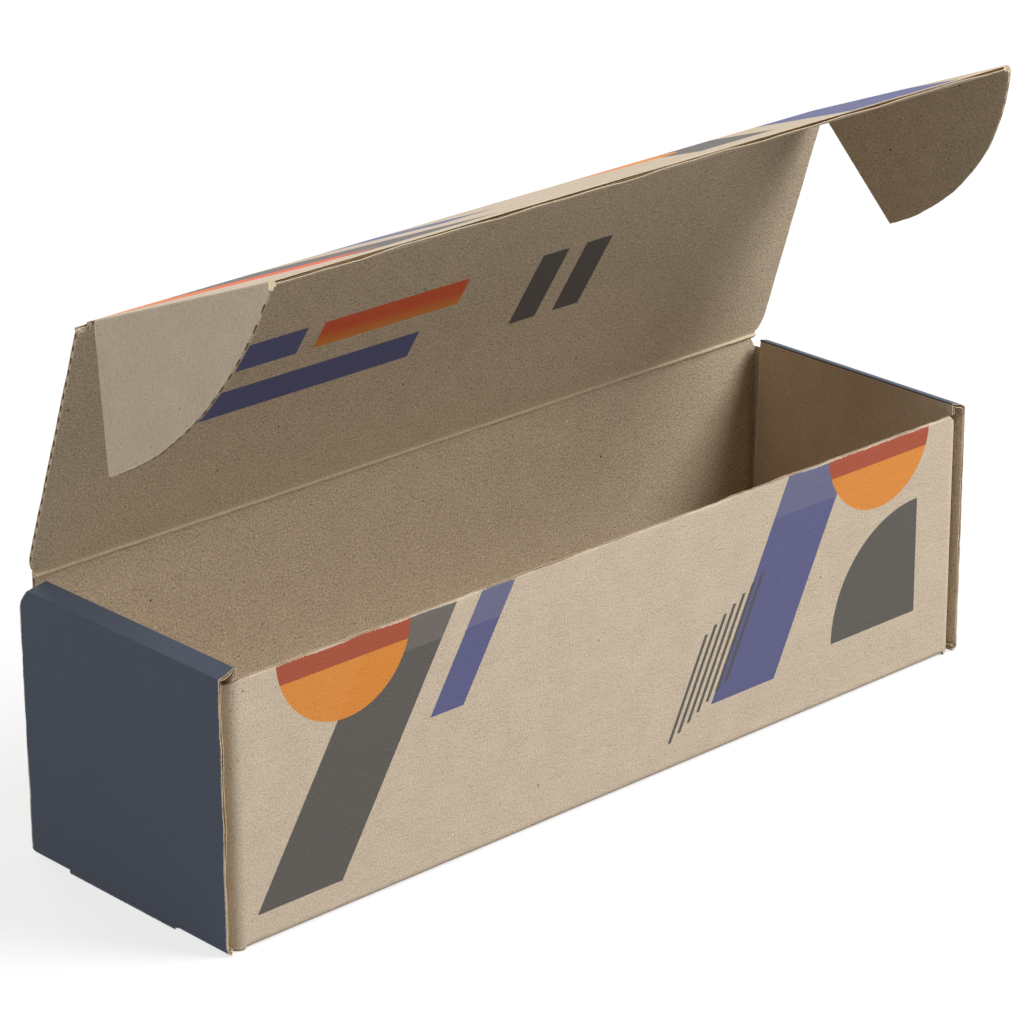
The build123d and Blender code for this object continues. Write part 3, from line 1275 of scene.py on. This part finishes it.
@dataclass(frozen=True)
class Pose:
    """Where the moving panels stand at rest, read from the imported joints."""

    hinge: Array
    crease: Array
    along_lid: Array
    into_lid: Array
    along_flap: Array
    into_flap: Array
    left_fold: float
    right_fold: float

    @classmethod
    def read(cls, joints: Sequence[dict]) -> "Pose":
        """Reads the rest pose.

        Args:
            joints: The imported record's joints.

        Returns:
            Creases, panel directions and ear angles at rest.
        """
        by_name = {j["name"]: j for j in joints}
        ears = [by_name[f"{side}_ear_hinge"] for side in ("left", "right")]
        hinge, crease = (np.array(by_name[f"{n}_hinge"]["pos_m"]) / MM for n in ("lid", "tuck_flap"))
        along_lid, along_flap = unit(crease - hinge), unit(ears[0]["axis"])
        folds = (math.radians(-ear["range_deg"][0]) for ear in ears)
        return cls(
            hinge, crease, along_lid, np.cross(X, along_lid), along_flap, np.cross(X, along_flap), *folds
        )


@dataclass
class Tray:
    """The folded tray: base, front and rear walls with corner flaps, and two roll-over ends."""

    sizes: BoxSizes
    board: Board
    rim_share: float = 0.9
    edge_share: float = 0.09
    INNER_LEG = 3

    def build(self, finishes: Sequence[Material]) -> Object:
        """Makes the tray's board.

        Args:
            finishes: Materials in Side order.

        Returns:
            The tray piece.
        """
        mesh = BoardMesh("tray_board")
        self._base(mesh)
        self._front(mesh)
        self._rear(mesh)
        for side in SIDES:
            self._foot(mesh, side)
            self._roll(mesh, side)
        obj = mesh.build(finishes)
        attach(obj, "tray")
        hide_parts("tray")
        return obj

    def _base(self, mesh: BoardMesh) -> None:
        """Adds the base with its two long folds.

        Args:
            mesh: Mesh to add to.
        """
        s, half = self.sizes, self.sizes.width / 2
        top = s.fold_radius + s.past_fold
        corners = (-half, top), (-half, 0.0), (half, 0.0), (half, top)
        path = FoldPath(corners, (s.fold_radius,) * 2, step=8.0)
        middle, edge = path.length() / 2, s.roll_face - s.base_short
        Ply(
            self.board, path, Place(ORIGIN, Y, Z, X), lambda st: -edge, lambda st: edge, Run.ACROSS,
            sheet_map(lambda r, a: a, lambda r, a: r - middle), columns=24,
        ).liners(mesh)

    def _wall(
        self, mesh: BoardMesh, sign: float, path: FoldPath, foot: Limit, top: Limit, **more: object
    ) -> None:
        """Adds the front or rear wall, with its corner flaps bent round.

        Args:
            mesh: Mesh to add to.
            sign: -1 for the front, 1 for the rear.
            path: Plan path of the wall.
            foot: Lower edge.
            top: Upper edge.
            more: What else its ply has, such as cut edges.
        """
        middle, half = path.length() / 2, self.sizes.width / 2
        blank = sheet_map(lambda r, a: sign * (middle - r), lambda r, a: sign * (half + a))
        ply = Ply(self.board, path, Place(ORIGIN, X, Y, Z), foot, top, Run.ALONG, blank, columns=10, **more)
        ply.liners(mesh)
        ply.fluting(mesh, self.rim_share)

    def _wall_path(self, sign: float, bend: float) -> FoldPath:
        """Plan path of the front or rear wall with its corner flaps.

        Args:
            sign: -1 for the front, 1 for the rear.
            bend: Outside radius of its two bends.

        Returns:
            The path.
        """
        half = self.sizes.width / 2
        x, y, reach = sign * self.sizes.corner_face, sign * half, sign * (half - self.sizes.corner_reach)
        return FoldPath(((x, reach), (x, y), (-x, y), (-x, reach)), (bend, bend), step=2.0, arc_steps=12)

    def _front(self, mesh: BoardMesh) -> None:
        """Adds the front wall with its raw top edge.

        Args:
            mesh: Mesh to add to.
        """
        s, rough = self.sizes, Wobble(size=0.1, seed=11)

        def top(st: Station) -> float:
            """Top edge, stepped down to the corner flaps.

            Args:
                st: A station.

            Returns:
                Its height.
            """
            fall = (abs(st.at[0]) - (s.corner_face - s.corner_inset - s.corner_slope)) / s.corner_slope
            drop = s.corner_drop if st.at[0] > 0 else s.corner_drop / s.left_easing
            return s.front_height - drop * clamp(fall) + rough(st.run)

        def foot(st: Station) -> float:
            """Lower edge: the base fold, and nearly down to the base round the bends."""
            return s.bend_foot if st.leg % 1 else s.fold_radius

        self._wall(mesh, -1.0, self._wall_path(-1.0, s.bend_radius), foot, top, cut=frozenset({Edge.HIGH}))

    def _rear(self, mesh: BoardMesh) -> None:
        """Adds the rear wall, which stops short of the hinge crease.

        Args:
            mesh: Mesh to add to.
        """
        s = self.sizes
        path = self._wall_path(1.0, s.fold_radius)
        middle, hinge_z = path.length() / 2, s.hinge_v - s.width / 2

        def top(st: Station) -> float:
            """Top edge: the crease, then a step down to the corner flaps.

            Args:
                st: A station.

            Returns:
                Its height.
            """
            if abs(st.run - middle) <= s.hinge_half:
                return hinge_z - s.crease_half
            fall = (abs(st.at[0]) - s.hinge_half) / (s.corner_face - s.hinge_half)
            return s.rear_flap_top + self.board.thickness / 2 * (1 - clamp(fall))

        marks = tuple(middle + k * (s.hinge_half + d) for k in (-1, 1) for d in (0.0, s.mark))
        self._wall(mesh, 1.0, path, lambda st: s.fold_radius, top, marks=marks)

    def _slot(self) -> Pair:
        """Ends of the slot that a locking tab stands in."""
        s = self.sizes
        return s.tab_offset - s.tab_half - s.ply_gap, s.tab_offset + s.tab_half + s.ply_gap

    def _rear_edge(self, side: float) -> Limit:
        """Rear edge of an end: rounded at toe and shoulder, sloped over the strip, tapered on the inner ply.

        Args:
            side: -1 for the left end, 1 for the right.

        Returns:
            The edge, where leg three is the inner ply.
        """
        s, half = self.sizes, self.sizes.width / 2
        rough = Wobble(size=0.12, seed=31 if side < 0 else 37)
        corners = ((0.0, -half), (s.rear_shoulder, -half), (s.crest_height, s.inner_rear_top - half))
        shoulder = np.array([st.at for st in FoldPath(corners, (s.rear_round,), step=2.0).stations()])

        def edge(st: Station) -> float:
            """The edge at a station.

            Args:
                st: The station.

            Returns:
                Its place across the end.
            """
            z = float(st.at[1])
            if st.leg >= self.INNER_LEG:
                taper = (s.inner_rear_top - s.inner_rear_foot) * clamp(z / s.front_height)
                return half - s.inner_rear_foot - taper + rough(st.run)
            if z < s.toe_round:
                return half - s.toe_round + math.sqrt(s.toe_round**2 - (s.toe_round - z) ** 2)
            return float(np.interp(z, shoulder[:, 0], -shoulder[:, 1])) + rough(st.run)

        return edge

    def _foot(self, mesh: BoardMesh, side: float) -> None:
        """Adds the lower fold of an end, parted by the slot of its locking tab.

        Args:
            mesh: Mesh to add to.
            side: -1 for the left end, 1 for the right.
        """
        s, half, face = self.sizes, self.sizes.width / 2, self.sizes.length / 2
        place, slot, up = Place(ORIGIN, side * X, Z, Y), self._slot(), s.fold_radius + s.past_fold
        corners = (s.roll_face - s.base_short, 0.0), (face, 0.0), (face, up)
        fold = FoldPath(corners, (s.fold_radius,), step=4.0)
        first = face - fold.length() + s.fold_radius

        def heel(st: Station) -> float:
            """Front edge, cut back under the front wall's bend.

            Args:
                st: A station.

            Returns:
                Its place across the end.
            """
            if st.leg > 0:
                return -half + s.end_gap
            turn = clamp(st.at[0] - s.corner_face + s.bend_radius, high=s.bend_radius)
            return -half + s.heel_gap + s.bend_radius - math.sqrt(s.bend_radius**2 - turn**2)

        blank = sheet_map(lambda r, a: side * (first + r), lambda r, a: a)
        for low, high in ((heel, lambda st: slot[0]), (lambda st: slot[1], self._rear_edge(side))):
            ply = Ply(self.board, fold, place, low, high, Run.ALONG, blank, columns=6, step=0.8)
            ply.liners(mesh)
            ply.seal(mesh, Edge.LOW)
        Ply(
            self.board, FoldPath(((face, 0.0), (face, up)), step=2.0), place,
            lambda st: slot[0], lambda st: slot[1], Run.ALONG,
            sheet_map(lambda r, a: side * (face + r), lambda r, a: a), frozenset({Edge.START}), columns=8,
        ).liners(mesh)

    def _roll(self, mesh: BoardMesh, side: float) -> None:
        """Adds the roll-over of an end: outer ply, strip, inner ply and locking tab.

        Args:
            mesh: Mesh to add to.
            side: -1 for the left end, 1 for the right.
        """
        s, t, half, face = self.sizes, self.board.thickness, self.sizes.width / 2, self.sizes.length / 2
        foot, slot, rear = t + s.ply_gap, self._slot(), self._rear_edge(side)
        below = foot - s.foot_slack
        rough = Wobble(size=0.16, seed=23 if side < 0 else 29)

        def front(st: Station) -> float:
            """Front edge: the outer ply's raw cut, then set back behind the front wall.

            Args:
                st: A station.

            Returns:
                Its place across the end.
            """
            if st.leg < self.INNER_LEG or st.at[1] > s.front_height + s.ply_gap:
                return -half + s.end_gap + abs(rough(st.run))
            return -half + t + s.ply_gap

        def tabbed(edge: Limit, at_tab: float) -> Limit:
            """An edge that narrows to the tab below the inner ply's foot.

            Args:
                edge: The edge, with legs counted from the base, so that the inner ply is leg three.
                at_tab: Where the tab's edge lies.

            Returns:
                The edge with its tab.
            """
            def both(st: Station) -> float:
                """The edge at a station."""
                ranked = replace(st, leg=st.leg + 1)
                return at_tab if ranked.leg >= self.INNER_LEG and st.at[1] < below else edge(ranked)

            return both

        brow, crest = (face, s.brow_height), (s.roll_face, s.crest_height)
        radii = s.brow_radius if side < 0 else s.right_brow_radius, s.crest_radius
        corners = (face, s.fold_radius), brow, crest, (s.roll_face, s.tab_foot)
        roll = FoldPath(corners, radii, step=2.0, arc_steps=10)
        legs = roll.pieces()
        drop = legs[2][0] + legs[2][1][1]
        marks = tuple(drop - z + d for z in (s.front_height + s.ply_gap, foot) for d in (0.0, s.mark))
        ply = Ply(
            replace(self.board, pinch_in=1.35, pinch_reach=2.8), roll, Place(ORIGIN, side * X, Z, Y),
            tabbed(front, slot[0] + s.ply_gap), tabbed(rear, slot[1] - s.ply_gap), Run.ALONG,
            sheet_map(lambda r, a: side * (face + s.fold_radius + r), lambda r, a: a),
            frozenset({Edge.LOW, Edge.HIGH}), marks, columns=14,
        )
        ply.liners(mesh)
        ply.seal(mesh, Edge.LOW, legs[0][0] + legs[0][3])
        ply.fluting(mesh, last=self.edge_share)
        ply.fluting(mesh, 1 - self.edge_share)


@dataclass
class Lid:
    """The lid panel, from the hinge crease to its front crease."""

    sizes: BoxSizes
    board: Board
    pose: Pose
    outline: tuple[Array, Array] = field(init=False)

    def __post_init__(self) -> None:
        """Works out the side outline: cut-back corner beside the hinge, then a slight taper."""
        s = self.sizes
        path = FoldPath(
            (
                (s.crease_short, -s.hinge_half),
                (s.lid_corner_rise, -s.lid_half),
                (s.lid_length, -s.lid_front_half),
            ),
            (s.lid_corner_round,), step=1.0, arc_steps=16,
        )
        points = np.array([st.at for st in path.stations()])
        self.outline = points[:, 0], -points[:, 1]

    def half(self, away: float) -> float:
        """Half width at a distance from the hinge, with the cut-back corners."""
        return float(np.interp(away, *self.outline))

    def build(self, finishes: Sequence[Material]) -> Object:
        """Makes the lid's board.

        Args:
            finishes: Materials in Side order.

        Returns:
            The lid piece.
        """
        s, t, pose = self.sizes, self.board.thickness, self.pose
        first, last, end = s.crease_half, s.lid_length - s.crease_half, s.lid_length - s.crease_short
        left, right = (Wobble(size=0.07, seed=seed) for seed in (41, 43))
        path = FoldPath(((first, -t / 2), (last, -t / 2)), step=self.board.path_step)
        ply = Ply(
            self.board.flipped(), path,
            Place(pose.hinge, pose.along_lid, pose.into_lid, X),
            lambda st: -self.half(st.at[0]) + left(st.run), lambda st: self.half(st.at[0]) + right(st.run),
            Run.ACROSS, sheet_map(lambda r, a: a, lambda r, a: s.hinge_v + first + r),
            frozenset({Edge.LOW, Edge.HIGH}), columns=24,
        )
        mesh = BoardMesh("lid_board")
        ply.liners(mesh)
        ply.seal(mesh, Edge.LOW)
        ply.seal(mesh, Edge.HIGH)
        ply.fluting(mesh)
        corner = FoldPath(((last, -t / 2), (end, -t / 2)), step=0.4, near=(0.25, 0.6))
        for side in SIDES:
            Ply(
                self.board, corner, Place(pose.hinge, pose.along_lid, pose.into_lid, side * X),
                lambda st: s.ear_fold - s.corner_lap, lambda st: self.half(st.at[0]), Run.ACROSS,
                sheet_map(lambda r, a, k=side: k * a, lambda r, a: s.hinge_v + last + r),
                frozenset({Edge.END, Edge.HIGH}), columns=3,
            ).liners(mesh)
        obj = mesh.build(finishes)
        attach(obj, "lid")
        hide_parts("lid")
        return obj


@dataclass
class TuckFlap:
    """The tuck flap, from the lid's front crease to its free edge."""

    sizes: BoxSizes
    board: Board
    pose: Pose

    def build(self, finishes: Sequence[Material]) -> Object:
        """Makes the flap's board.

        Args:
            finishes: Materials in Side order.

        Returns:
            The flap piece.
        """
        s, t, pose = self.sizes, self.board.thickness, self.pose
        first = s.crease_half

        def half(st: Station) -> float:
            """Half width: full beside the lid, then short of the ear creases."""
            return s.ear_fold - (s.crease_short if st.at[0] < s.ear_root else s.crease_half)

        ply = Ply(
            self.board, FoldPath(((first, -t / 2), (s.flap_depth, -t / 2)), step=3.0),
            Place(pose.crease, pose.along_flap, pose.into_flap, X), lambda st: -half(st), half, Run.ACROSS,
            sheet_map(lambda r, a: a, lambda r, a: s.flap_v + first + r), frozenset({Edge.END}),
            (s.ear_root - first - s.mark / 2, s.ear_root - first + s.mark / 2), columns=40,
        )
        mesh = BoardMesh("tuck_flap_board")
        ply.liners(mesh)
        ply.fluting(mesh)
        obj = mesh.build(finishes)
        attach(obj, "tuck_flap")
        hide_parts("tuck_flap")
        return obj


@dataclass
class Ear:
    """One rounded ear on a short end of the tuck flap."""

    sizes: BoxSizes
    board: Board
    pose: Pose
    side: float
    tip_marks: tuple[float, ...] = (-0.6, -0.2, 0.0, 0.2)

    @property
    def body(self) -> str:
        """Name of the ear's body."""
        return "left_ear" if self.side < 0 else "right_ear"

    def axes(self) -> tuple[Array, Array, Array]:
        """Where the ear lies.

        Returns:
            Fold origin, reach direction and inward direction.
        """
        fold = self.pose.left_fold if self.side < 0 else self.pose.right_fold
        into = self.pose.into_flap
        reach = math.sin(fold) * into + self.side * math.cos(fold) * X
        inward = math.cos(fold) * into - self.side * math.sin(fold) * X
        return self.pose.crease + self.side * self.sizes.ear_fold * X, reach, inward

    def reach(self, along: float) -> float:
        """Outline of the ear.

        Args:
            along: Distance from the lid's crease.

        Returns:
            Reach from the ear's fold.
        """
        s = self.sizes
        if along < s.ear_tip:
            return s.ear_reach * (along - s.ear_root) / (s.ear_tip - s.ear_root)
        tip, toe = np.array((s.ear_tip, s.ear_reach)), np.array((s.flap_depth, s.ear_toe))
        chord = toe - tip
        drop = math.sqrt(s.ear_curve**2 - (float(np.linalg.norm(chord)) / 2) ** 2)
        centre = (tip + toe) / 2 + unit((chord[1], -chord[0])) * drop
        return float(centre[1] + math.sqrt(max(0.0, s.ear_curve**2 - (along - centre[0]) ** 2)))

    def build(self, finishes: Sequence[Material]) -> Object:
        """Makes the ear's board.

        Args:
            finishes: Materials in Side order.

        Returns:
            The ear piece.
        """
        s, t = self.sizes, self.board.thickness
        origin, reach, inward = self.axes()
        first = s.ear_root + s.ear_gap
        rough = Wobble(size=0.1, seed=53 if self.side < 0 else 59)

        def edge(st: Station) -> float:
            """Cut edge of the ear.

            Args:
                st: A station.

            Returns:
                Its reach from the fold.
            """
            away = float(st.at[0])
            reached = self.reach(away) + (rough(st.run) if away > s.ear_tip else 0.0)
            return max(s.crease_half + s.ear_least, reached)

        ply = Ply(
            self.board if self.side < 0 else self.board.flipped(),
            FoldPath(((first, -t / 2), (s.flap_depth, -t / 2)), step=self.board.path_step),
            Place(origin, self.pose.along_flap, inward, reach), lambda st: s.crease_half, edge, Run.ACROSS,
            sheet_map(lambda r, a: self.side * (s.ear_fold + a), lambda r, a: s.flap_v + first + r),
            frozenset({Edge.HIGH, Edge.START}), tuple(s.ear_tip - first + d for d in self.tip_marks),
            columns=10,
        )
        mesh = BoardMesh(f"{self.body}_board")
        ply.liners(mesh)
        ply.seal(mesh, Edge.START)
        ply.seal(mesh, Edge.HIGH)
        ply.fluting(mesh)
        obj = mesh.build(finishes)
        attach(obj, self.body)
        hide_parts(self.body)
        return obj


@dataclass
class Creases:
    """The four creases that move."""

    sizes: BoxSizes
    board: Board
    pose: Pose

    def build(self, finishes: Sequence[Material]) -> list[Object]:
        """Makes the crease strips.

        Args:
            finishes: Materials in Side order.

        Returns:
            The strips, from the hinge to the ears.
        """
        s, pose = self.sizes, self.pose
        wide, half, board = s.ear_fold - s.crease_short, s.crease_half, self.board
        lid_out, flap_out = -pose.into_lid, -pose.into_flap
        creases = [
            Crease(
                "hinge_crease", ("tray", "lid"), pose.hinge, X, (-s.hinge_half, s.hinge_half),
                (-Z, pose.along_lid), (Y, lid_out),
                sheet_map(lambda x, w: x, lambda x, w: s.hinge_v + w),
                bead=0.8, lean=0.6, half=half, board=board, seed=61,
            ),
            Crease(
                "front_crease", ("lid", "tuck_flap"), pose.crease, X, (-wide, wide),
                (-pose.along_lid, pose.along_flap), (lid_out, flap_out),
                sheet_map(lambda x, w: x, lambda x, w: s.flap_v + w),
                bead=0.35, lean=0.3, half=half, board=board, seed=67,
            ),
        ]
        for side, seed in zip(SIDES, (71, 73)):
            ear = Ear(s, board, pose, side)
            origin, reach, inward = ear.axes()
            flat = sheet_map(lambda x, w, k=side: k * (s.ear_fold + w), lambda x, w: s.flap_v + x)
            creases.append(Crease(
                f"{ear.body}_crease", ("tuck_flap", ear.body), origin, pose.along_flap,
                (s.ear_root + s.ear_crease_short, s.flap_depth - s.ear_crease_short),
                (-side * X, reach), (flap_out, -inward), flat,
                bead=0.25, lean=0.3, half=half, board=board, seed=seed,
            ))
        pieces = []
        for crease in creases:
            obj = crease.build(finishes)
            pieces.append(obj)
        return pieces


@dataclass(frozen=True)
class PrintLayout:
    """Where the fields of ink lie on the flat sheet."""

    sizes: BoxSizes
    front_half: float = 155.0
    over_top: float = 20.0
    crest_over: Pair = (0.6, -0.2)
    side_over: float = 1.0
    corner_at: Pair = (28.0, 50.0)
    corner_half: Pair = (22.0, 46.0)

    def outside(self) -> tuple[Field, ...]:
        """Fields on the printed face of the sheet."""
        return (*self._front_left(), *self._front_right(), *self._flap(), *self._ends())

    def _front(self, x: float, z: float) -> Pair:
        """Place on the flat sheet of a point on the front wall."""
        return x, -self.sizes.width / 2 - z

    def _top(self, low: float) -> tuple[float, float, float, float]:
        """Box that keeps what lies above a height on the front wall."""
        top = self.sizes.front_height + self.over_top
        return -self.front_half, self.front_half, self._front(0.0, top)[1], self._front(0.0, low)[1]

    def _headed(
        self, shape: Shape, inks: tuple[Ink, Ink], at: Pair, half: Pair, low: float, slant: float = 0.0
    ) -> list[Field]:
        """A field on the front wall, and its head in a second ink above a height."""
        return [Field(shape, ink, at, half, slant, keep) for ink, keep in zip(inks, (None, self._top(low)))]

    def _front_left(self) -> list[Field]:
        """Slanted band, half disc and bar at the left of the front wall.

        Returns:
            The fields.
        """
        slant = -0.62
        grey, orange, violet = (
            (Inks.CHARCOAL, Inks.ASH), (Inks.ORANGE, Inks.RUST), (Inks.VIOLET, Inks.STEEL)
        )
        return [
            *self._headed(Shape.BAR, grey, self._front(-112.0, 50.0), (17.0, 40.0), low=78.5, slant=slant),
            *self._headed(Shape.DISC, orange, self._front(-117.0, 91.0), (27.0, 27.0), low=82.5),
            *self._headed(Shape.BAR, violet, self._front(-64.0, 72.0), (7.0, 19.0), low=78.5, slant=slant),
        ]

    def _front_right(self) -> list[Field]:
        """Slanted band, hatching, quarter disc and half disc at the right of the front wall.

        Returns:
            The fields.
        """
        slant, right, base, top = -0.5, 142.0, 22.0, 64.5
        violet, orange = (Inks.VIOLET, Inks.STEEL), (Inks.ORANGE, Inks.RUST)
        hatching = [self._front(31.0 + 4.4 * k, 27.0 + 2.4 * k) for k in range(7)]
        quarter = (98.0, right, self._front(0.0, top)[1], self._front(0.0, base)[1])
        return [
            *self._headed(Shape.BAR, violet, self._front(75.0, 54.0), (15.0, 36.0), low=76.0, slant=slant),
            *(Field(Shape.BAR, Inks.CHARCOAL, at, (0.75, 17.0), slant) for at in hatching),
            Field(Shape.DISC, Inks.CHARCOAL, self._front(right, base), (42.0, 42.0), keep=quarter),
            *self._headed(Shape.DISC, orange, self._front(122.0, 91.0), (25.0, 25.0), low=82.5),
        ]

    def _flap(self) -> list[Field]:
        """Bands and a disc on the tuck flap, and bands that run on over the lid.

        Returns:
            The fields.
        """
        return [
            Field(shape, ink, (u, self.sizes.flap_v + v), half, slant)
            for shape, ink, u, v, half, slant in (
                (Shape.BAR, Inks.CHARCOAL, -112.0, 20.0, (26.0, 60.0), 0.45),
                (Shape.BAR, Inks.ORANGE, -128.0, 30.0, (12.0, 40.0), 0.45),
                (Shape.BAR, Inks.VIOLET, -48.0, 16.0, (11.0, 24.0), 0.45),
                (Shape.BAR, Inks.CHARCOAL, 78.0, 24.0, (17.0, 40.0), -0.5),
                (Shape.DISC, Inks.ORANGE, 62.0, 2.0, (20.0, 20.0), 0.0),
                (Shape.BAR, Inks.VIOLET, 134.0, 40.0, (26.0, 52.0), -0.5),
            )
        ]

    def _ends(self) -> list[Field]:
        """Flood of slate on the outer plies, over the brow to the crest, and on the corner flaps.

        Returns:
            The fields.
        """
        s, face = self.sizes, self.sizes.length / 2
        strip = math.hypot(s.roll_face - face, s.crest_height - s.brow_height)
        fields = []
        for side, over in zip(SIDES, self.crest_over):
            past = face + s.brow_height + strip + over
            half = (past - face) / 2, s.width / 2 + self.side_over
            fields.append(Field(Shape.BAR, Inks.SLATE, (side * (face + past) / 2, 0.0), half))
            for wall in SIDES:
                at = side * (s.corner_face + self.corner_at[0]), wall * (s.width / 2 + self.corner_at[1])
                fields.append(Field(Shape.BAR, Inks.SLATE, at, self.corner_half))
        return fields

    def inside(self) -> tuple[Field, ...]:
        """Bars on the lid's inner face.

        Returns:
            The fields.
        """
        slant, v = 0.35, self.sizes.hinge_v
        return tuple(
            Field(Shape.BAR, ink, (u, v + away), half, slant)
            for ink, u, away, half in (
                (Inks.VIOLET, -83.0, 62.0, (16.0, 4.6)),
                (Inks.ORANGE, -29.0, 62.0, (31.0, 4.6)),
                (Inks.VIOLET, -60.0, 46.0, (44.0, 4.6)),
                (Inks.CHARCOAL, 38.0, 54.0, (6.0, 12.6)),
                (Inks.CHARCOAL, 58.0, 54.0, (6.0, 12.6)),
            )
        )


@dataclass(frozen=True)
class Studio:
    """Camera, floor and soft light."""

    camera_at: tuple[float, float, float] = (-869.41, -927.49, 597.52)
    azimuth: float = 43.072
    drop: float = 21.981
    roll: float = -0.316
    lens: float = 147.57
    sensor: float = 36.0
    clip: Pair = (0.05, 50.0)
    floor_reach: float = 30.0
    floor_drop: float = 0.0002
    floor_tone: float = 0.3
    sky: float = 0.16
    aim: tuple[float, float, float] = (0.0, 0.0, 0.08)
    lamps: tuple[tuple[str, tuple[float, float, float], float, float], ...] = (
        ("key", (1.3, -1.4, 2.05), 1.5, 80.0),
        ("left", (-1.7, -0.1, 1.5), 1.1, 16.5),
        ("low", (1.0, -2.2, 0.5), 0.8, 6.0),
        ("rear", (0.6, 2.1, 0.95), 1.2, 13.0),
    )

    def camera(self) -> None:
        """Sets the camera at the photograph's viewing angle."""
        data = bpy.data.cameras.new("camera")
        data.sensor_width, data.lens = self.sensor, self.lens
        data.clip_start, data.clip_end = self.clip
        a, d, r = (math.radians(x) for x in (self.azimuth, self.drop, self.roll))
        forward = Vector((math.sin(a) * math.cos(d), math.cos(a) * math.cos(d), -math.sin(d)))
        level = Vector((math.cos(a), -math.sin(a), 0.0))
        right = level * math.cos(r) + level.cross(forward) * math.sin(r)
        up = right.cross(forward)
        rows = [(*axes, at * MM) for *axes, at in zip(right, up, -forward, self.camera_at)]
        obj = link("camera", data)
        obj.matrix_world = Matrix((*rows, (0.0, 0.0, 0.0, 1.0)))
        bpy.context.scene.camera = obj

    def floor(self) -> None:
        """Makes the plain pale floor, which takes the box's shadow and is seen white."""
        mesh = bpy.data.meshes.new("floor")
        corners = ((-1, -1), (1, -1), (1, 1), (-1, 1))
        points = [(x * self.floor_reach, y * self.floor_reach, -self.floor_drop) for x, y in corners]
        mesh.from_pydata(points, [], [(0, 1, 2, 3)])
        mat, g, shader = Graph.material("floor_white")
        tone = (*(self.floor_tone,) * 3, 1.0)
        g.feed(shader, {"Base Color": tone, "Roughness": 0.9, "Specular IOR Level": 0.1})
        strength = g.maths("MULTIPLY", g.seen(), 1 - self.floor_tone)
        glow = g.add("Emission", {"Strength": strength}).outputs["Emission"]
        both = g.add("AddShader", {0: shader.outputs["BSDF"], 1: glow}).outputs["Shader"]
        g.feed(next(n for n in g.tree.nodes if n.type == "OUTPUT_MATERIAL"), {"Surface": both})
        mesh.materials.append(mat)
        link("floor", mesh)

    def lights(self) -> None:
        """Sets the soft studio lamps, which face the box, and the white world."""
        world = bpy.data.worlds.new("studio")
        bpy.context.scene.world = world
        world.use_nodes = True
        g = Graph(world.node_tree)
        strength = g.maths("MULTIPLY_ADD", g.seen(), 1 - self.sky, self.sky)
        background = next(n for n in g.tree.nodes if n.type == "BACKGROUND")
        g.feed(background, {"Color": (1.0, 1.0, 1.0, 1.0), "Strength": strength})
        for name, at, size, power in self.lamps:
            data = bpy.data.lights.new(name, "AREA")
            data.shape, data.size, data.energy = "DISK", size, power
            obj = link(name, data)
            obj.location = at
            obj.rotation_mode = "QUATERNION"
            obj.rotation_quaternion = (Vector(self.aim) - Vector(at)).to_track_quat("-Z", "Y")


def finishes(sizes: BoxSizes, groups: ShaderGroups) -> list[Material]:
    """The board's materials.

    Args:
        sizes: Sizes of the box, which place the print.
        groups: The shared shader groups.

    Returns:
        Printed outside, inside, cut edge and fluting, in Side order, and then the crease paper, paler for
        crushing wear and for a painted highlight.
    """
    layout = PrintLayout(sizes)
    papers = (
        PaperFinish(
            "kraft_printed_outside", linear(207, 189, 166),
            flecks=1.0, depth=0.42, roughness=0.84, fields=layout.outside(),
        ),
        PaperFinish(
            "kraft_inside", linear(199, 181, 155),
            flecks=1.8, depth=1.0, roughness=0.88, fields=layout.inside(),
        ),
        PaperFinish("cut_paper", linear(208, 188, 160), raw=True),
        PaperFinish("fluting_paper", linear(150, 124, 92), raw=True),
        # Crease paper: paler than the inside, partly for crushing wear and partly as a painted highlight
        # where the crease bead catches the light.
        PaperFinish("kraft_crease_wear_and_highlight", linear(204, 187, 160), roughness=0.88),
    )
    return [paper.material(groups) for paper in papers]


def main() -> None:
    """Builds the box's looks and the studio, and logs each piece's face count."""
    logging.basicConfig(level=logging.INFO, format="%(name)s: %(message)s")
    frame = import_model()
    bpy.context.scene.view_settings.view_transform = "Standard"
    sizes, board = BoxSizes(), Board()
    pose = Pose.read(frame["joints"])
    # worn is the crease paper, paler for crushing wear and for a painted highlight on the crease bead.
    *looks, worn = finishes(sizes, ShaderGroups(board))
    pieces = [
        Tray(sizes, board).build(looks),
        Lid(sizes, board, pose).build(looks),
        TuckFlap(sizes, board, pose).build(looks),
        *(Ear(sizes, board, pose, side).build(looks) for side in SIDES),
        *Creases(sizes, board, pose).build([looks[0], worn, *looks[2:]]),
    ]
    studio = Studio()
    studio.camera()
    studio.floor()
    studio.lights()
    for piece in pieces:
        LOG.info("%s: %d faces", piece.name, len(piece.data.polygons))


if __name__ == "__main__":
    main()
